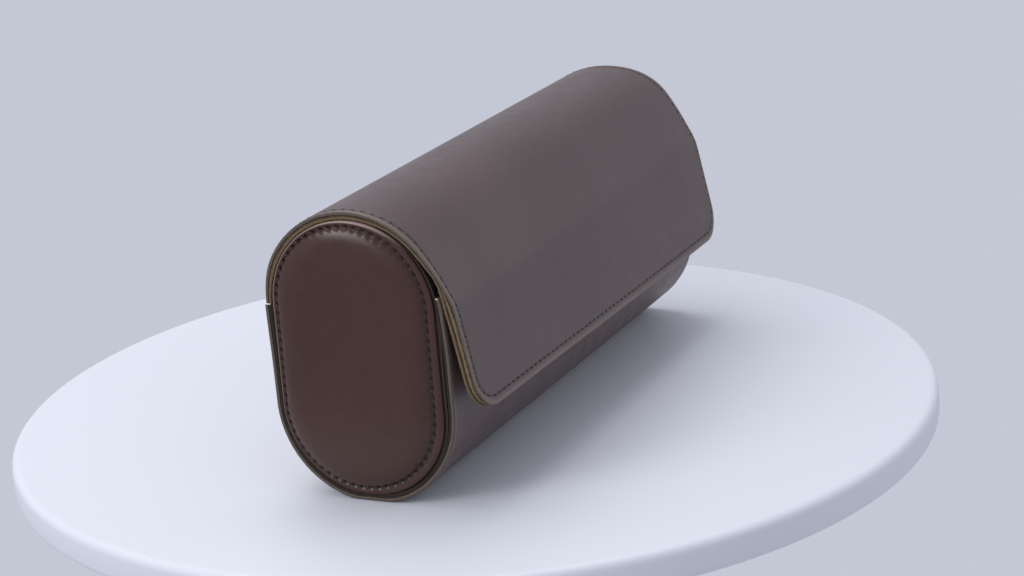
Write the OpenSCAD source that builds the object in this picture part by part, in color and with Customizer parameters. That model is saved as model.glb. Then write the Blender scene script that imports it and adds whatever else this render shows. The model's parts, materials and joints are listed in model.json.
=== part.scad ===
// Watch travel case: an oval padded drum with three watch cushions, wrapped in a
// leather sleeve whose back wall carries a stiff flap that folds over the top.
// Millimetres. X runs along the case, -Y is the front (flap side), +Z is up.
// The origin is the middle of the flat strip that the case stands on.

/* [Case] */
// Length of the leather sleeve and of the flap
case_l = 206; // [190:1:230]
// Radius of the rounded body, which is half its thickness from front to back
body_r = 31.8; // [31:0.2:34]
// Rise from the centre of the bottom round to the centre of the top round
oval_rise = 32.8; // [30:0.2:38]
// Depth by which the bottom round is flattened for standing
flat_depth = 0.7; // [0.4:0.1:1]

/* [Sleeve] */
// Thickness of the outer leather
leather_t = 1.3; // [1.2:0.1:1.8]
// Thickness of the suede inside the sleeve
sleeve_suede_t = 0.9; // [0.8:0.1:1.4]
// Distance of the suede's ends from the leather's
suede_setback = 1.5; // [1:0.25:3]
// Height of the sleeve's front wall above the table
front_top = 70.3; // [66:0.1:74]
// Height of the back seam where the flap begins
seam_z = 64.6; // [60:0.2:66]

/* [Drum] */
// Thickness of the drum's board shell
shell_t = 2.2; // [1.8:0.1:3]
// Thickness of the suede that lines the drum
room_suede_t = 0.8; // [0.6:0.1:1]
// Height of the drum shell's two long edges
shell_top = 69; // [67:0.2:70]
// Thickness of each end board
end_board_t = 2.4; // [2:0.2:3]
// Thickness of the leather on each end
end_leather_t = 1.2; // [1:0.1:1.4]
// Flat stitched margin round each end panel
end_margin = 3; // [2.5:0.25:4]
// Height of the padded dome on each end
dome_h = 2.2; // [1.5:0.1:3]
// Run over which the dome rises from its margin
dome_run = 12; // [10:1:15]

/* [Flap] */
// Distance by which the flap's round sits forward of the drum's
flap_forward = 0.45; // [0.3:0.05:0.6]
// Distance by which the flap's round sits above the drum's
flap_lift = 0.15; // [0:0.05:0.3]
// Thickness of the flap's outer leather
flap_leather_t = 1.4; // [1.2:0.1:1.8]
// Thickness of the flap's suede lining
flap_suede_t = 1.4; // [1.2:0.1:1.8]
// Thickness of the board inside the front panel
flap_board_t = 1.5; // [1.2:0.1:1.6]
// Angle around the top at which the flap leaves the drum, from the back
leave_angle = 140; // [136:1:142]
// Straight run from there to the fold
shoulder_l = 12.5; // [11:0.5:14]
// Outer radius of the fold between top and front panel
fold_r = 12.4; // [10:0.2:14]
// Outward lean of the front panel
flare = 11; // [9:0.5:13]
// Length of the front panel below the fold
panel_l = 36.5; // [30:0.5:40]
// Radius of the front panel's lower corners
corner_r = 11; // [8:0.5:14]
// Run over which the lining steps in behind the front board
ramp_l = 6; // [5:0.5:8]
// Distance of the front board from the flap's edges
board_hem = 0.8; // [0.5:0.1:3]

/* [Magnets] */
// Diameter of the closing magnets and their steel plates
magnet_d = 14; // [12:1:16]
// Thickness of the steel plates in the front wall
plate_t = 1.4; // [1:0.1:1.6]
// Distance of each magnet from the middle of the case
magnet_x = 55; // [40:1:70]
// Height of the magnets above the table
magnet_z = 50; // [46:1:54]

/* [Watch cushions] */
// Number of watch places
places = 3; // [3]
// Length of a cushion
cushion_l = 57; // [54:1:59]
// Half width of a cushion at its crown
cushion_r = 22.6; // [21:0.1:23]
// Rise between the centres of a cushion's two rounds
cushion_rise = 17; // [14:0.5:20]
// Amount by which the cushion's ends draw in from its crown
crown = 1.4; // [0.8:0.2:2]
// Rounding of the cushion's edges
cushion_edge = 4; // [3:0.5:5]
// Thickness of the cushion's padded cover
cover_t = 6; // [5:0.5:7]
// Thickness of each cushion's end disc
cap_t = 2; // [1.5:0.5:3]

/* [Dividers] */
// Thickness of a divider's board
divider_board_t = 2.2; // [1.8:0.2:3]
// Height of the dividers above the table
divider_top = 72; // [70:0.5:76]
// Radius of the dividers' upper corners
divider_corner_r = 8; // [5:0.5:10]

/* [Hidden] */
$fn = 96;
clear = 0.3;                                   // air between bodies that move apart
hair = 0.005;                                  // offset of a flat from the arc it meets
half_l = case_l / 2;
low_c = body_r - flat_depth;                   // centre of the bottom round
high_c = low_c + oval_rise;                    // centre of the top round
tall = high_c + body_r + 20;                   // taller than any piece
drum_in = leather_t + sleeve_suede_t;          // insets below the sleeve's surface
shell_in = drum_in + shell_t;
room_in = shell_in + room_suede_t;
rim_x = half_l - clear;                        // outer face of the ends' margins
board_x = rim_x - end_leather_t;
lining_x = board_x - end_board_t;
room_x = lining_x - room_suede_t;
divider_t = divider_board_t + 2 * room_suede_t;
place_l = (2 * room_x - (places - 1) * divider_t) / places;
pitch = place_l + divider_t;                   // from one watch place to the next
arc_steps = 18;                                // facets of a half round in a soft form
tape_h = 4.6;                                  // hinge tape behind the seam

// Flap: the outer surface runs round the drum, down a straight shoulder, round
// the fold and down the front panel. Depths are counted inwards from it.
flap_r = body_r - drum_in + clear + flap_forward + flap_leather_t + flap_suede_t;
flap_c = [-flap_forward, high_c + flap_lift];
leave = flap_c + flap_r * [cos(leave_angle), sin(leave_angle)];
shoulder_dir = [-sin(leave_angle), cos(leave_angle)];
shoulder_out = [cos(leave_angle), sin(leave_angle)];
fold_start = leave + shoulder_l * shoulder_dir;
fold_c = fold_start - fold_r * shoulder_out;
fold_end_angle = 180 - flare;
panel_out = [cos(fold_end_angle), sin(fold_end_angle)];
panel_dir = [-sin(flare), -cos(flare)];
panel_start = fold_c + fold_r * panel_out;
panel_depth = flap_leather_t + flap_board_t;
magnet_run = (panel_start[1] - magnet_z) / cos(flare);

cushion_floor = room_in + clear;
cushion_low_c = cushion_floor + cushion_r;
cushion_stations = 5;                          // rings in each half of a cushion
core_r = cushion_r - cover_t;

// ---- Shapes in the section plane: first coordinate is Y, second is Z ----

// Extrudes a section along X between two stations.
module along_x(from, to) {
    translate([from, 0, 0]) rotate([90, 0, 90]) linear_extrude(to - from) children();
}

// The case's oval, drawn in by an inset and flattened at the bottom.
module oval(inset) {
    r = body_r - inset;
    intersection() {
        union() {
            translate([0, low_c]) circle(r);
            translate([0, high_c]) circle(r);
            translate([-r, low_c]) square([2 * r, oval_rise]);
        }
        translate([-tall, inset]) square([2 * tall, tall]);
    }
}

// A U-shaped wall between two insets, open at the top.
module u_wall(outer, inner, front, back) {
    difference() {
        oval(outer);
        oval(inner);
        translate([-tall, front]) square([tall, tall]);
        translate([0, back]) square([tall, tall]);
    }
}

// The point of the front panel at a run below the fold and a depth.
function on_panel(run, depth) = panel_start + run * panel_dir - depth * panel_out;

// All that lies inside the flap's surface: at one depth over the top and another
// behind the front panel, where the surface steps in over a short ramp. The flat
// stretches lie a hair below their arcs, so that each crosses its arc cleanly.
module flap_solid(top_depth, front_depth, run) {
    flat_top = top_depth + hair;
    flat_front = front_depth + hair;
    translate(flap_c) circle(flap_r - top_depth);
    translate(fold_c) circle(fold_r - top_depth);
    polygon([flap_c, leave - flat_top * shoulder_out,
             fold_start - flat_top * shoulder_out, fold_c]);
    polygon([flap_c, fold_c, on_panel(0, flat_top), on_panel(ramp_l, flat_front),
             on_panel(run, flat_front), on_panel(run, 2 * body_r)]);
}

// The flap's section with everything below the back seam taken away.
module above_seam() {
    difference() {
        children();
        translate([-body_r + 1, seam_z + 0.2 - tall]) square([tall, tall]);
    }
}

// Removes the front panel's two lower corners, leaving a round of radius r.
module round_corners(r, edge, bottom) {
    difference() {
        children();
        for (side = [0, 1]) mirror([side, 0, 0])
            translate([0, panel_start[0], panel_start[1]]) rotate([-flare, 0, 0])
                translate([half_l - edge - r, 0, -(panel_l - bottom - r)]) difference() {
                    translate([0, -fold_r, -2 * r]) cube([2 * r, 2 * fold_r, 2 * r]);
                    rotate([90, 0, 0]) cylinder(r = r, h = 3 * fold_r, center = true);
                }
    }
}

// Round discs set in the front panel, one on each side.
module panel_discs(d, from, to) {
    for (side = [-1, 1])
        translate([side * magnet_x, panel_start[0], panel_start[1]])
            rotate([-flare, 0, 0]) translate([0, from, -magnet_run])
                rotate([-90, 0, 0]) cylinder(d = d, h = to - from);
}

// Round discs set in the drum's front wall, one on each side.
module wall_discs(d, from, depth) {
    for (side = [-1, 1])
        translate([side * magnet_x, from, magnet_z])
            rotate([-90, 0, 0]) cylinder(d = d, h = depth);
}

// ---- Soft forms: rings of an oval, joined one to the next ----

// One ring of an oval at station x: radius, centres of its rounds and its floor.
function oval_ring(x, r, low, high, floor) = concat(
    [for (i = [0:arc_steps]) let (a = 180 + 180 * i / arc_steps)
        [x, r * cos(a), max(floor, low + r * sin(a))]],
    [for (i = [0:arc_steps]) let (a = 180 * i / arc_steps)
        [x, r * cos(a), high + r * sin(a)]]);

// A closed body through rings that all have the same number of points.
module loft(rings) {
    m = len(rings[0]);
    n = len(rings);
    polyhedron(
        points = [for (ring = rings) each ring],
        faces = concat(
            [[for (i = [0:m - 1]) i]],
            [for (k = [0:n - 2], i = [0:m - 1]) let (j = (i + 1) % m)
                [k * m + i, (k + 1) * m + i, (k + 1) * m + j]],
            [for (k = [0:n - 2], i = [0:m - 1]) let (j = (i + 1) % m)
                [k * m + i, (k + 1) * m + j, k * m + j]],
            [[for (i = [m - 1:-1:0]) (n - 1) * m + i]]));
}

// Ring of the end oval, inset from the drum's surface.
function end_ring(x, inset) = oval_ring(x, body_r - drum_in - 0.1 - inset,
                                        low_c, high_c, drum_in + 0.1 + inset);

// Height of the padded dome at a given distance inside the rim.
function dome(inset) = dome_h
    * (1 - pow(1 - min(1, max(0, (inset - end_margin) / dome_run)), 2.4));

dome_insets = [for (t = [0, 0.06, 0.16, 0.3, 0.5, 0.72, 1, 1.6]) end_margin + dome_run * t];

// ---- Sleeve ----

module sleeve_leather() {
    color("#4a3c3a") along_x(-half_l, half_l) u_wall(0, leather_t, front_top, seam_z);
}

module sleeve_lining() {
    color("#6e5f3c") along_x(suede_setback - half_l, half_l - suede_setback)
        u_wall(leather_t, drum_in, front_top, seam_z - tape_h);
}

module hinge_tape() {
    color("#5c4a36") along_x(suede_setback - half_l, half_l - suede_setback)
        intersection() {
            u_wall(leather_t, drum_in, 0, seam_z);
            translate([0, seam_z - tape_h]) square([tall, tape_h]);
        }
}

// ---- Drum ----

module tray_shell() {
    color("#8a7350") difference() {
        along_x(-lining_x, lining_x) u_wall(drum_in, shell_in, shell_top, shell_top);
        wall_discs(magnet_d + 0.2, -body_r, drum_in + plate_t);
    }
}

module tray_lining() {
    color("#b8a27c") along_x(-room_x, room_x) {
        u_wall(shell_in, room_in, shell_top + room_suede_t, shell_top + room_suede_t);
        intersection() {
            u_wall(drum_in, shell_in, shell_top + room_suede_t, shell_top + room_suede_t);
            translate([-tall, shell_top]) square([2 * tall, room_suede_t]);
        }
    }
}

module front_plates() {
    color("silver") wall_discs(magnet_d, -(body_r - drum_in), plate_t);
}

module end_board() {
    color("#8a7350") along_x(lining_x, board_x) oval(drum_in);
}

module end_lining() {
    color("#b8a27c") along_x(room_x, lining_x) {
        oval(shell_in);
        intersection() {
            oval(drum_in + 0.4);
            translate([-tall, shell_top + room_suede_t]) square([2 * tall, tall]);
        }
    }
}

module end_pad() {
    color("#c9c2a8") loft([for (s = dome_insets) end_ring(board_x + dome(s), s)]);
}

module end_panel() {
    count = len(dome_insets);
    color("#4a3a38") loft(concat(
        [for (i = [count - 1:-1:0]) end_ring(board_x + dome(dome_insets[i]), dome_insets[i])],
        [end_ring(board_x, 0), end_ring(rim_x - 0.3, 0), end_ring(rim_x, 0.3)],
        [for (s = dome_insets) end_ring(rim_x + dome(s), s)]));
}

// ---- Dividers ----

// The outline of a divider, trimmed by a border all round.
module divider_outline(trim) {
    r = divider_corner_r - trim;
    side = body_r - room_in - trim;
    top = divider_top - trim;
    intersection() {
        oval(room_in + trim);
        union() {
            translate([-side, 0]) square([2 * side, top - r]);
            translate([r - side, 0]) square([2 * (side - r), top]);
            for (y = [-1, 1]) translate([y * (side - r), top - r]) circle(r);
        }
    }
}

module divider_board() {
    color("#8a7350") along_x(-divider_board_t / 2, divider_board_t / 2)
        divider_outline(room_suede_t);
}

module divider_cover() {
    color("#b8a27c") difference() {
        along_x(-divider_t / 2, divider_t / 2) divider_outline(0);
        along_x(-divider_board_t / 2, divider_board_t / 2) divider_outline(room_suede_t);
    }
}

module at_divider(side) {
    translate([side * pitch / 2, 0, 0]) children();
}

// ---- Flap ----

module flap_leather() {
    color("#5e5352") round_corners(corner_r, 0, 0) along_x(-half_l, half_l)
        above_seam() difference() {
            flap_solid(0, 0, panel_l);
            flap_solid(flap_leather_t, flap_leather_t, panel_l + 1);
        }
}

module flap_board() {
    outer = flap_leather_t + 2 * hair;
    end = panel_l - board_hem;
    color("#8a7350") difference() {
        round_corners(corner_r - board_hem, board_hem, board_hem)
            along_x(board_hem - half_l, half_l - board_hem)
                polygon([on_panel(ramp_l, outer), on_panel(end, outer),
                         on_panel(end, panel_depth), on_panel(ramp_l, panel_depth)]);
        panel_discs(magnet_d + 0.2, 0, panel_depth + 1);
    }
}

module flap_lining() {
    top_inner = flap_leather_t + flap_suede_t;
    color("#8c7442") round_corners(corner_r, 0, 0) along_x(-half_l, half_l)
        above_seam() difference() {
            flap_solid(flap_leather_t, panel_depth, panel_l);
            flap_solid(top_inner, panel_depth + flap_suede_t, panel_l + 1);
        }
}

module flap_magnets() {
    color("silver") panel_discs(magnet_d, flap_leather_t + 2 * hair, panel_depth);
}

// ---- Watch cushions ----

// Radius of a cushion at a distance from its middle: crowned, with rounded edges.
function cushion_radius(x) =
    let (u = abs(x) / (cushion_l / 2),
         into_edge = max(0, abs(x) - (cushion_l / 2 - cushion_edge)) / cushion_edge)
    cushion_r - crown * u * u - cushion_edge * (1 - sqrt(max(0, 1 - into_edge * into_edge)));

// Stations along a cushion, closer together at its rounded edges.
function cushion_station(i) =
    let (t = i / cushion_stations) cushion_l / 2 * (1 - pow(1 - abs(t), 2)) * sign(t);

module cushion_section(r) {
    translate([0, cushion_low_c]) circle(r);
    translate([0, cushion_low_c + cushion_rise]) circle(r);
    translate([-r, cushion_low_c]) square([2 * r, cushion_rise]);
}

module cushion_cover() {
    color("#a8946e") difference() {
        loft([for (i = [-cushion_stations:cushion_stations])
            oval_ring(cushion_station(i), cushion_radius(cushion_station(i)),
                      cushion_low_c, cushion_low_c + cushion_rise, 0)]);
        along_x(-cushion_l, cushion_l) cushion_section(core_r);
    }
}

module cushion_core() {
    color("#d8d2c0") along_x(cap_t - cushion_l / 2, cushion_l / 2 - cap_t)
        cushion_section(core_r - 0.1);
}

module cushion_caps() {
    color("#94805c") for (side = [0, 1]) mirror([side, 0, 0])
        along_x(cushion_l / 2 - cap_t, cushion_l / 2) cushion_section(core_r - 0.1);
}

module at_place(i) {
    translate([i * pitch, 0, 0]) children();
}

sleeve_leather();
sleeve_lining();
hinge_tape();
tray_shell();
tray_lining();
mirror([1, 0, 0]) end_board();  // end_board_left
end_board();  // end_board_right
mirror([1, 0, 0]) end_pad();  // end_pad_left
end_pad();  // end_pad_right
mirror([1, 0, 0]) end_panel();  // end_panel_left
end_panel();  // end_panel_right
mirror([1, 0, 0]) end_lining();  // end_lining_left
end_lining();  // end_lining_right
at_divider(-1) divider_board();  // divider_board_left
at_divider(1) divider_board();  // divider_board_right
at_divider(-1) divider_cover();  // divider_cover_left
at_divider(1) divider_cover();  // divider_cover_right
front_plates();
flap_leather();
flap_board();
flap_lining();
flap_magnets();
at_place(-1) cushion_cover();  // cushion_cover_left
at_place(0) cushion_cover();  // cushion_cover_centre
at_place(1) cushion_cover();  // cushion_cover_right
at_place(-1) cushion_core();  // cushion_core_left
at_place(0) cushion_core();  // cushion_core_centre
at_place(1) cushion_core();  // cushion_core_right
at_place(-1) cushion_caps();  // cushion_caps_left
at_place(0) cushion_caps();  // cushion_caps_centre
at_place(1) cushion_caps();  // cushion_caps_right
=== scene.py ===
"""Watch travel case in dark brown leather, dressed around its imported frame.

The case is an oval drum with padded, stitched ends that lies in a leather sleeve.
A stiffened flap begins at the back seam, folds over the top and hangs down the
front. Inside, two dividers part three places, each with its watch cushion.

All sizes are in metres. X runs along the case, -Y is the front and +Z is up.
"""

from __future__ import annotations

import json
import logging
import math
from contextlib import contextmanager
from dataclasses import dataclass, field
from enum import Enum
from typing import Callable, Iterable, Iterator, Sequence

import bmesh
import bpy
import numpy as np
from mathutils import Matrix, Vector, noise

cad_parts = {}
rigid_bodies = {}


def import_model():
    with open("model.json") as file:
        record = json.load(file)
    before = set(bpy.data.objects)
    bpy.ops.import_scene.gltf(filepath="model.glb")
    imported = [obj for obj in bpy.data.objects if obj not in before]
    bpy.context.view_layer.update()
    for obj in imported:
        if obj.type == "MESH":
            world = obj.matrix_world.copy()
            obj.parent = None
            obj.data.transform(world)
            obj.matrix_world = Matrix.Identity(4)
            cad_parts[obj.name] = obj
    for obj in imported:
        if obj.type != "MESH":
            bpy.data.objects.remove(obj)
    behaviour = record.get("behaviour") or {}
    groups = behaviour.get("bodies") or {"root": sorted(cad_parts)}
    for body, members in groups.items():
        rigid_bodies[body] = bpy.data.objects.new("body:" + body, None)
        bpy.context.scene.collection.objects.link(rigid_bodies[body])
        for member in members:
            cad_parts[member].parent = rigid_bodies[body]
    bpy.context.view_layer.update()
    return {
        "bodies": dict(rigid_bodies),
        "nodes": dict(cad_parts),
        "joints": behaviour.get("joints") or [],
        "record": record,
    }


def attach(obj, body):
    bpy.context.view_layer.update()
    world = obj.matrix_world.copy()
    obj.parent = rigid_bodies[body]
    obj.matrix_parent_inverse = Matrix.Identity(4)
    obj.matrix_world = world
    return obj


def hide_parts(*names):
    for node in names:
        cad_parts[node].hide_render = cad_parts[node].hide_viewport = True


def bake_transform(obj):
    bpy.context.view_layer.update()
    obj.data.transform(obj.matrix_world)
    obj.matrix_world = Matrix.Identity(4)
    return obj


LOG = logging.getLogger("watch_case")
MM = 0.001
Colour = tuple[float, float, float]
Point2 = tuple[float, float]
Point3 = tuple[float, float, float]
Array = np.ndarray
Piece = bpy.types.Object
Material = bpy.types.Material
Socket = bpy.types.NodeSocket


class Body(str, Enum):
    """The bodies that pieces ride on."""

    CASE = "case"
    FLAP = "flap"


class End(float, Enum):
    """The two ends of the case, by the sign of their X."""

    LEFT = -1.0
    RIGHT = 1.0

    @property
    def word(self) -> str:
        """The end's name in piece names."""
        return self.name.lower()


# ---- Edit-mode work -------------------------------------------------------


def deselect() -> None:
    """Deselects every object, as operators act on all that is selected."""
    for obj in bpy.context.selected_objects:
        obj.select_set(False)


def pick(obj: Piece) -> None:
    """Makes one object the only selected one and the active one.

    Args:
        obj: The object.
    """
    deselect()
    obj.select_set(True)
    bpy.context.view_layer.objects.active = obj


@contextmanager
def editing(obj: Piece) -> Iterator[None]:
    """Holds an object in edit mode, in vertex selection.

    Args:
        obj: The object, which goes back to object mode afterwards.
    """
    pick(obj)
    bpy.ops.object.mode_set(mode="EDIT")
    bpy.ops.mesh.select_mode(type="VERT")
    try:
        yield
    finally:
        bpy.ops.object.mode_set(mode="OBJECT")


def select_where(obj: Piece, test: Callable[[Vector], bool]) -> None:
    """Selects, in edit mode, the vertices whose place passes a test.

    Args:
        obj: The object in edit mode.
        test: Takes a vertex's place and says whether it is selected.
    """
    mesh = bmesh.from_edit_mesh(obj.data)
    for vertex in mesh.verts:
        vertex.select = test(vertex.co)
    mesh.select_flush_mode()
    bmesh.update_edit_mesh(obj.data)


def name_new(name: str) -> Piece:
    """Names the primitive that was just added and returns it.

    Args:
        name: The name for the object and its mesh.

    Returns:
        The active object.
    """
    obj = bpy.context.active_object
    obj.name = name
    obj.data.name = name
    return obj


def settle(obj: Piece) -> None:
    """Applies an object's place, turn and scale to its mesh."""
    pick(obj)
    bpy.ops.object.transform_apply(location=True, rotation=True, scale=True)


def apply(obj: Piece, kind: str, **settings: object) -> None:
    """Adds a modifier with its settings and applies it.

    Args:
        obj: The object that is modified.
        kind: The modifier's type.
        **settings: The modifier's properties.
    """
    pick(obj)
    modifier = obj.modifiers.new(kind.lower(), kind)
    for key, value in settings.items():
        setattr(modifier, key, value)
    bpy.ops.object.modifier_apply(modifier=modifier.name)


def face_outwards(obj: Piece) -> None:
    """Merges doubles and turns all faces of a closed piece outwards.

    Args:
        obj: The closed piece.
    """
    with editing(obj):
        bpy.ops.mesh.select_all(action="SELECT")
        bpy.ops.mesh.remove_doubles(threshold=1e-6)
        bpy.ops.mesh.normals_make_consistent(inside=False)


def smooth(obj: Piece, angle: float = 40.0) -> None:
    """Shades a piece smooth, except over edges sharper than an angle."""
    pick(obj)
    bpy.ops.object.shade_smooth_by_angle(angle=math.radians(angle))


def places(obj: Piece) -> Array:
    """The vertices' places, one row each.

    Args:
        obj: A mesh object.

    Returns:
        A table of X, Y and Z.
    """
    flat = np.empty(len(obj.data.vertices) * 3)
    obj.data.vertices.foreach_get("co", flat)
    return flat.reshape(-1, 3)


def put_places(obj: Piece, table: Array) -> None:
    """Moves the vertices to the places in a table."""
    obj.data.vertices.foreach_set("co", np.asarray(table, float).ravel())
    obj.data.update()


def store(obj: Piece, name: str, values: Array) -> None:
    """Keeps one number for each vertex, for the materials to read.

    Args:
        obj: The piece.
        name: The attribute's name.
        values: One number for each vertex.
    """
    layer = obj.data.attributes.get(name)
    if layer is None:
        layer = obj.data.attributes.new(name, "FLOAT", "POINT")
    layer.data.foreach_set("value", np.asarray(values, np.float32))


def join(pieces: Sequence[Piece], name: str) -> Piece:
    """Joins copies of a small shape into one piece.

    Args:
        pieces: The copies.
        name: The joined piece's name.

    Returns:
        The joined piece.
    """
    deselect()
    for obj in pieces:
        obj.select_set(True)
    bpy.context.view_layer.objects.active = pieces[0]
    bpy.ops.object.join()
    return name_new(name)


def arc(rise: float, radius: float) -> float:
    """Angle, in degrees, over which a round rises so far above its centre."""
    return math.degrees(math.asin(rise / radius))


def lay(spot: Vector, heading: Vector, out: Vector) -> Matrix:
    """Frame of a small part that lies on a surface.

    Args:
        spot: Its place.
        heading: The direction that its X takes.
        out: The direction out of the surface, which its Z takes.

    Returns:
        The matrix.
    """
    turn = Matrix((heading, out.cross(heading), out)).transposed().to_4x4()
    return Matrix.Translation(spot) @ turn


def gauss(x: Array, centre: float, width: float) -> Array:
    """A bell of height one round a centre."""
    return np.exp(-(((x - centre) / width) ** 2))


def ramp(x: Array, start: float, end: float) -> Array:
    """A smooth rise from 0 at start to 1 at end."""
    t = np.clip((x - start) / (end - start), 0, 1)
    return t * t * (3 - 2 * t)


# ---- Sections in the YZ plane --------------------------------------------


@dataclass(frozen=True)
class Straight:
    """A straight stretch of a section."""

    length: float


@dataclass(frozen=True)
class Bend:
    """A round stretch; a positive angle in degrees turns left, seen from +X."""

    radius: float
    angle: float


Stretch = Straight | Bend


@dataclass(frozen=True)
class Laid:
    """A stretch at its place in the section."""

    kind: Stretch
    start: Array
    heading: float
    offset: float

    @property
    def length(self) -> float:
        """Length along the section."""
        if isinstance(self.kind, Straight):
            return self.kind.length
        return self.kind.radius * math.radians(abs(self.kind.angle))

    @property
    def sign(self) -> float:
        """One for a left bend and minus one for a right bend."""
        return 1.0 if getattr(self.kind, "angle", 1.0) >= 0 else -1.0

    @property
    def centre(self) -> Array:
        """Centre of the bend."""
        left = np.array([-math.sin(self.heading), math.cos(self.heading)])
        return self.start + self.sign * self.kind.radius * left

    def heading_at(self, run: Array) -> Array:
        """Direction of travel after a run from the stretch's start.

        Args:
            run: Distances from the stretch's start.

        Returns:
            The angles from +Y towards +Z, in radians.
        """
        if isinstance(self.kind, Straight):
            return np.full_like(run, self.heading)
        return self.heading + self.sign * run / self.kind.radius

    def point_at(self, run: Array) -> Array:
        """Places after a run from the stretch's start, one row each.

        Args:
            run: Distances from the stretch's start.

        Returns:
            Y and Z of the places.
        """
        if isinstance(self.kind, Straight):
            way = np.array([math.cos(self.heading), math.sin(self.heading)])
            return self.start + np.outer(run, way)
        turn = self.heading_at(run)
        out = np.stack([np.sin(turn), -np.cos(turn)], axis=1)
        return self.centre + self.sign * self.kind.radius * out


class Profile:
    """A line in the YZ plane that sheets of leather are drawn along.

    Its outside is on the right of the direction of travel. Past a turn of
    LONG_BEND degrees a place near the end of a bend can look as if it lay before
    its start, and SLACK is the angle before the start that is still left there.
    """

    LONG_BEND = 170.0
    SLACK = 0.2

    def __init__(self, start: Point2, heading: float, stretches: Iterable[Stretch]):
        """Lays the stretches end to end.

        Args:
            start: Y and Z of the first point.
            heading: Direction at the start, in degrees from +Y towards +Z.
            stretches: The stretches in order; a bend of no radius is a corner.
        """
        self.laid: list[Laid] = []
        point, turn, offset = np.array(start, float), math.radians(heading), 0.0
        for kind in stretches:
            if isinstance(kind, Bend) and kind.radius == 0:
                turn += math.radians(kind.angle)
                continue
            piece = Laid(kind, point, turn, offset)
            run = np.array([piece.length])
            point, turn = piece.point_at(run)[0], float(piece.heading_at(run)[0])
            offset += piece.length
            self.laid.append(piece)
        self.length = offset

    def place(self, run: Array) -> tuple[Array, Array]:
        """Points and outward directions at runs along the profile.

        Args:
            run: Distances from the profile's start.

        Returns:
            The places and the unit vectors out of the surface, one row each.
        """
        run = np.asarray(run, float)
        points, outward = np.empty((len(run), 2)), np.empty((len(run), 2))
        for index, piece in enumerate(self.laid):
            last = index == len(self.laid) - 1
            inside = run >= piece.offset if index else np.ones(len(run), bool)
            if not last:
                inside &= run < piece.offset + piece.length
            local = run[inside] - piece.offset
            turn = piece.heading_at(local)
            points[inside] = piece.point_at(local)
            outward[inside] = np.stack([np.sin(turn), -np.cos(turn)], axis=1)
        return points, outward

    def locate(self, table: Array) -> Array:
        """Run along the profile of the point nearest to each place.

        Args:
            table: Y and Z of the places, one row each.

        Returns:
            The runs.
        """
        best = np.full(len(table), np.inf)
        runs = np.zeros(len(table))
        for piece in self.laid:
            if isinstance(piece.kind, Straight):
                way = np.array([math.cos(piece.heading), math.sin(piece.heading)])
                local = (table - piece.start) @ way
            else:
                rel = table - piece.centre
                turn = np.arctan2(rel[:, 1], rel[:, 0]) + piece.sign * math.pi / 2
                sweep = (turn - piece.heading) * piece.sign
                sweep = (sweep + math.pi) % (2 * math.pi) - math.pi
                if abs(piece.kind.angle) > self.LONG_BEND:
                    sweep = np.where(sweep < -self.SLACK, sweep + 2 * math.pi, sweep)
                local = sweep * piece.kind.radius
            local = np.clip(local, 0, piece.length)
            gap = np.linalg.norm(table - piece.point_at(local), axis=1)
            closer = gap < best
            best[closer] = gap[closer]
            runs[closer] = local[closer] + piece.offset
        return runs


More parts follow.
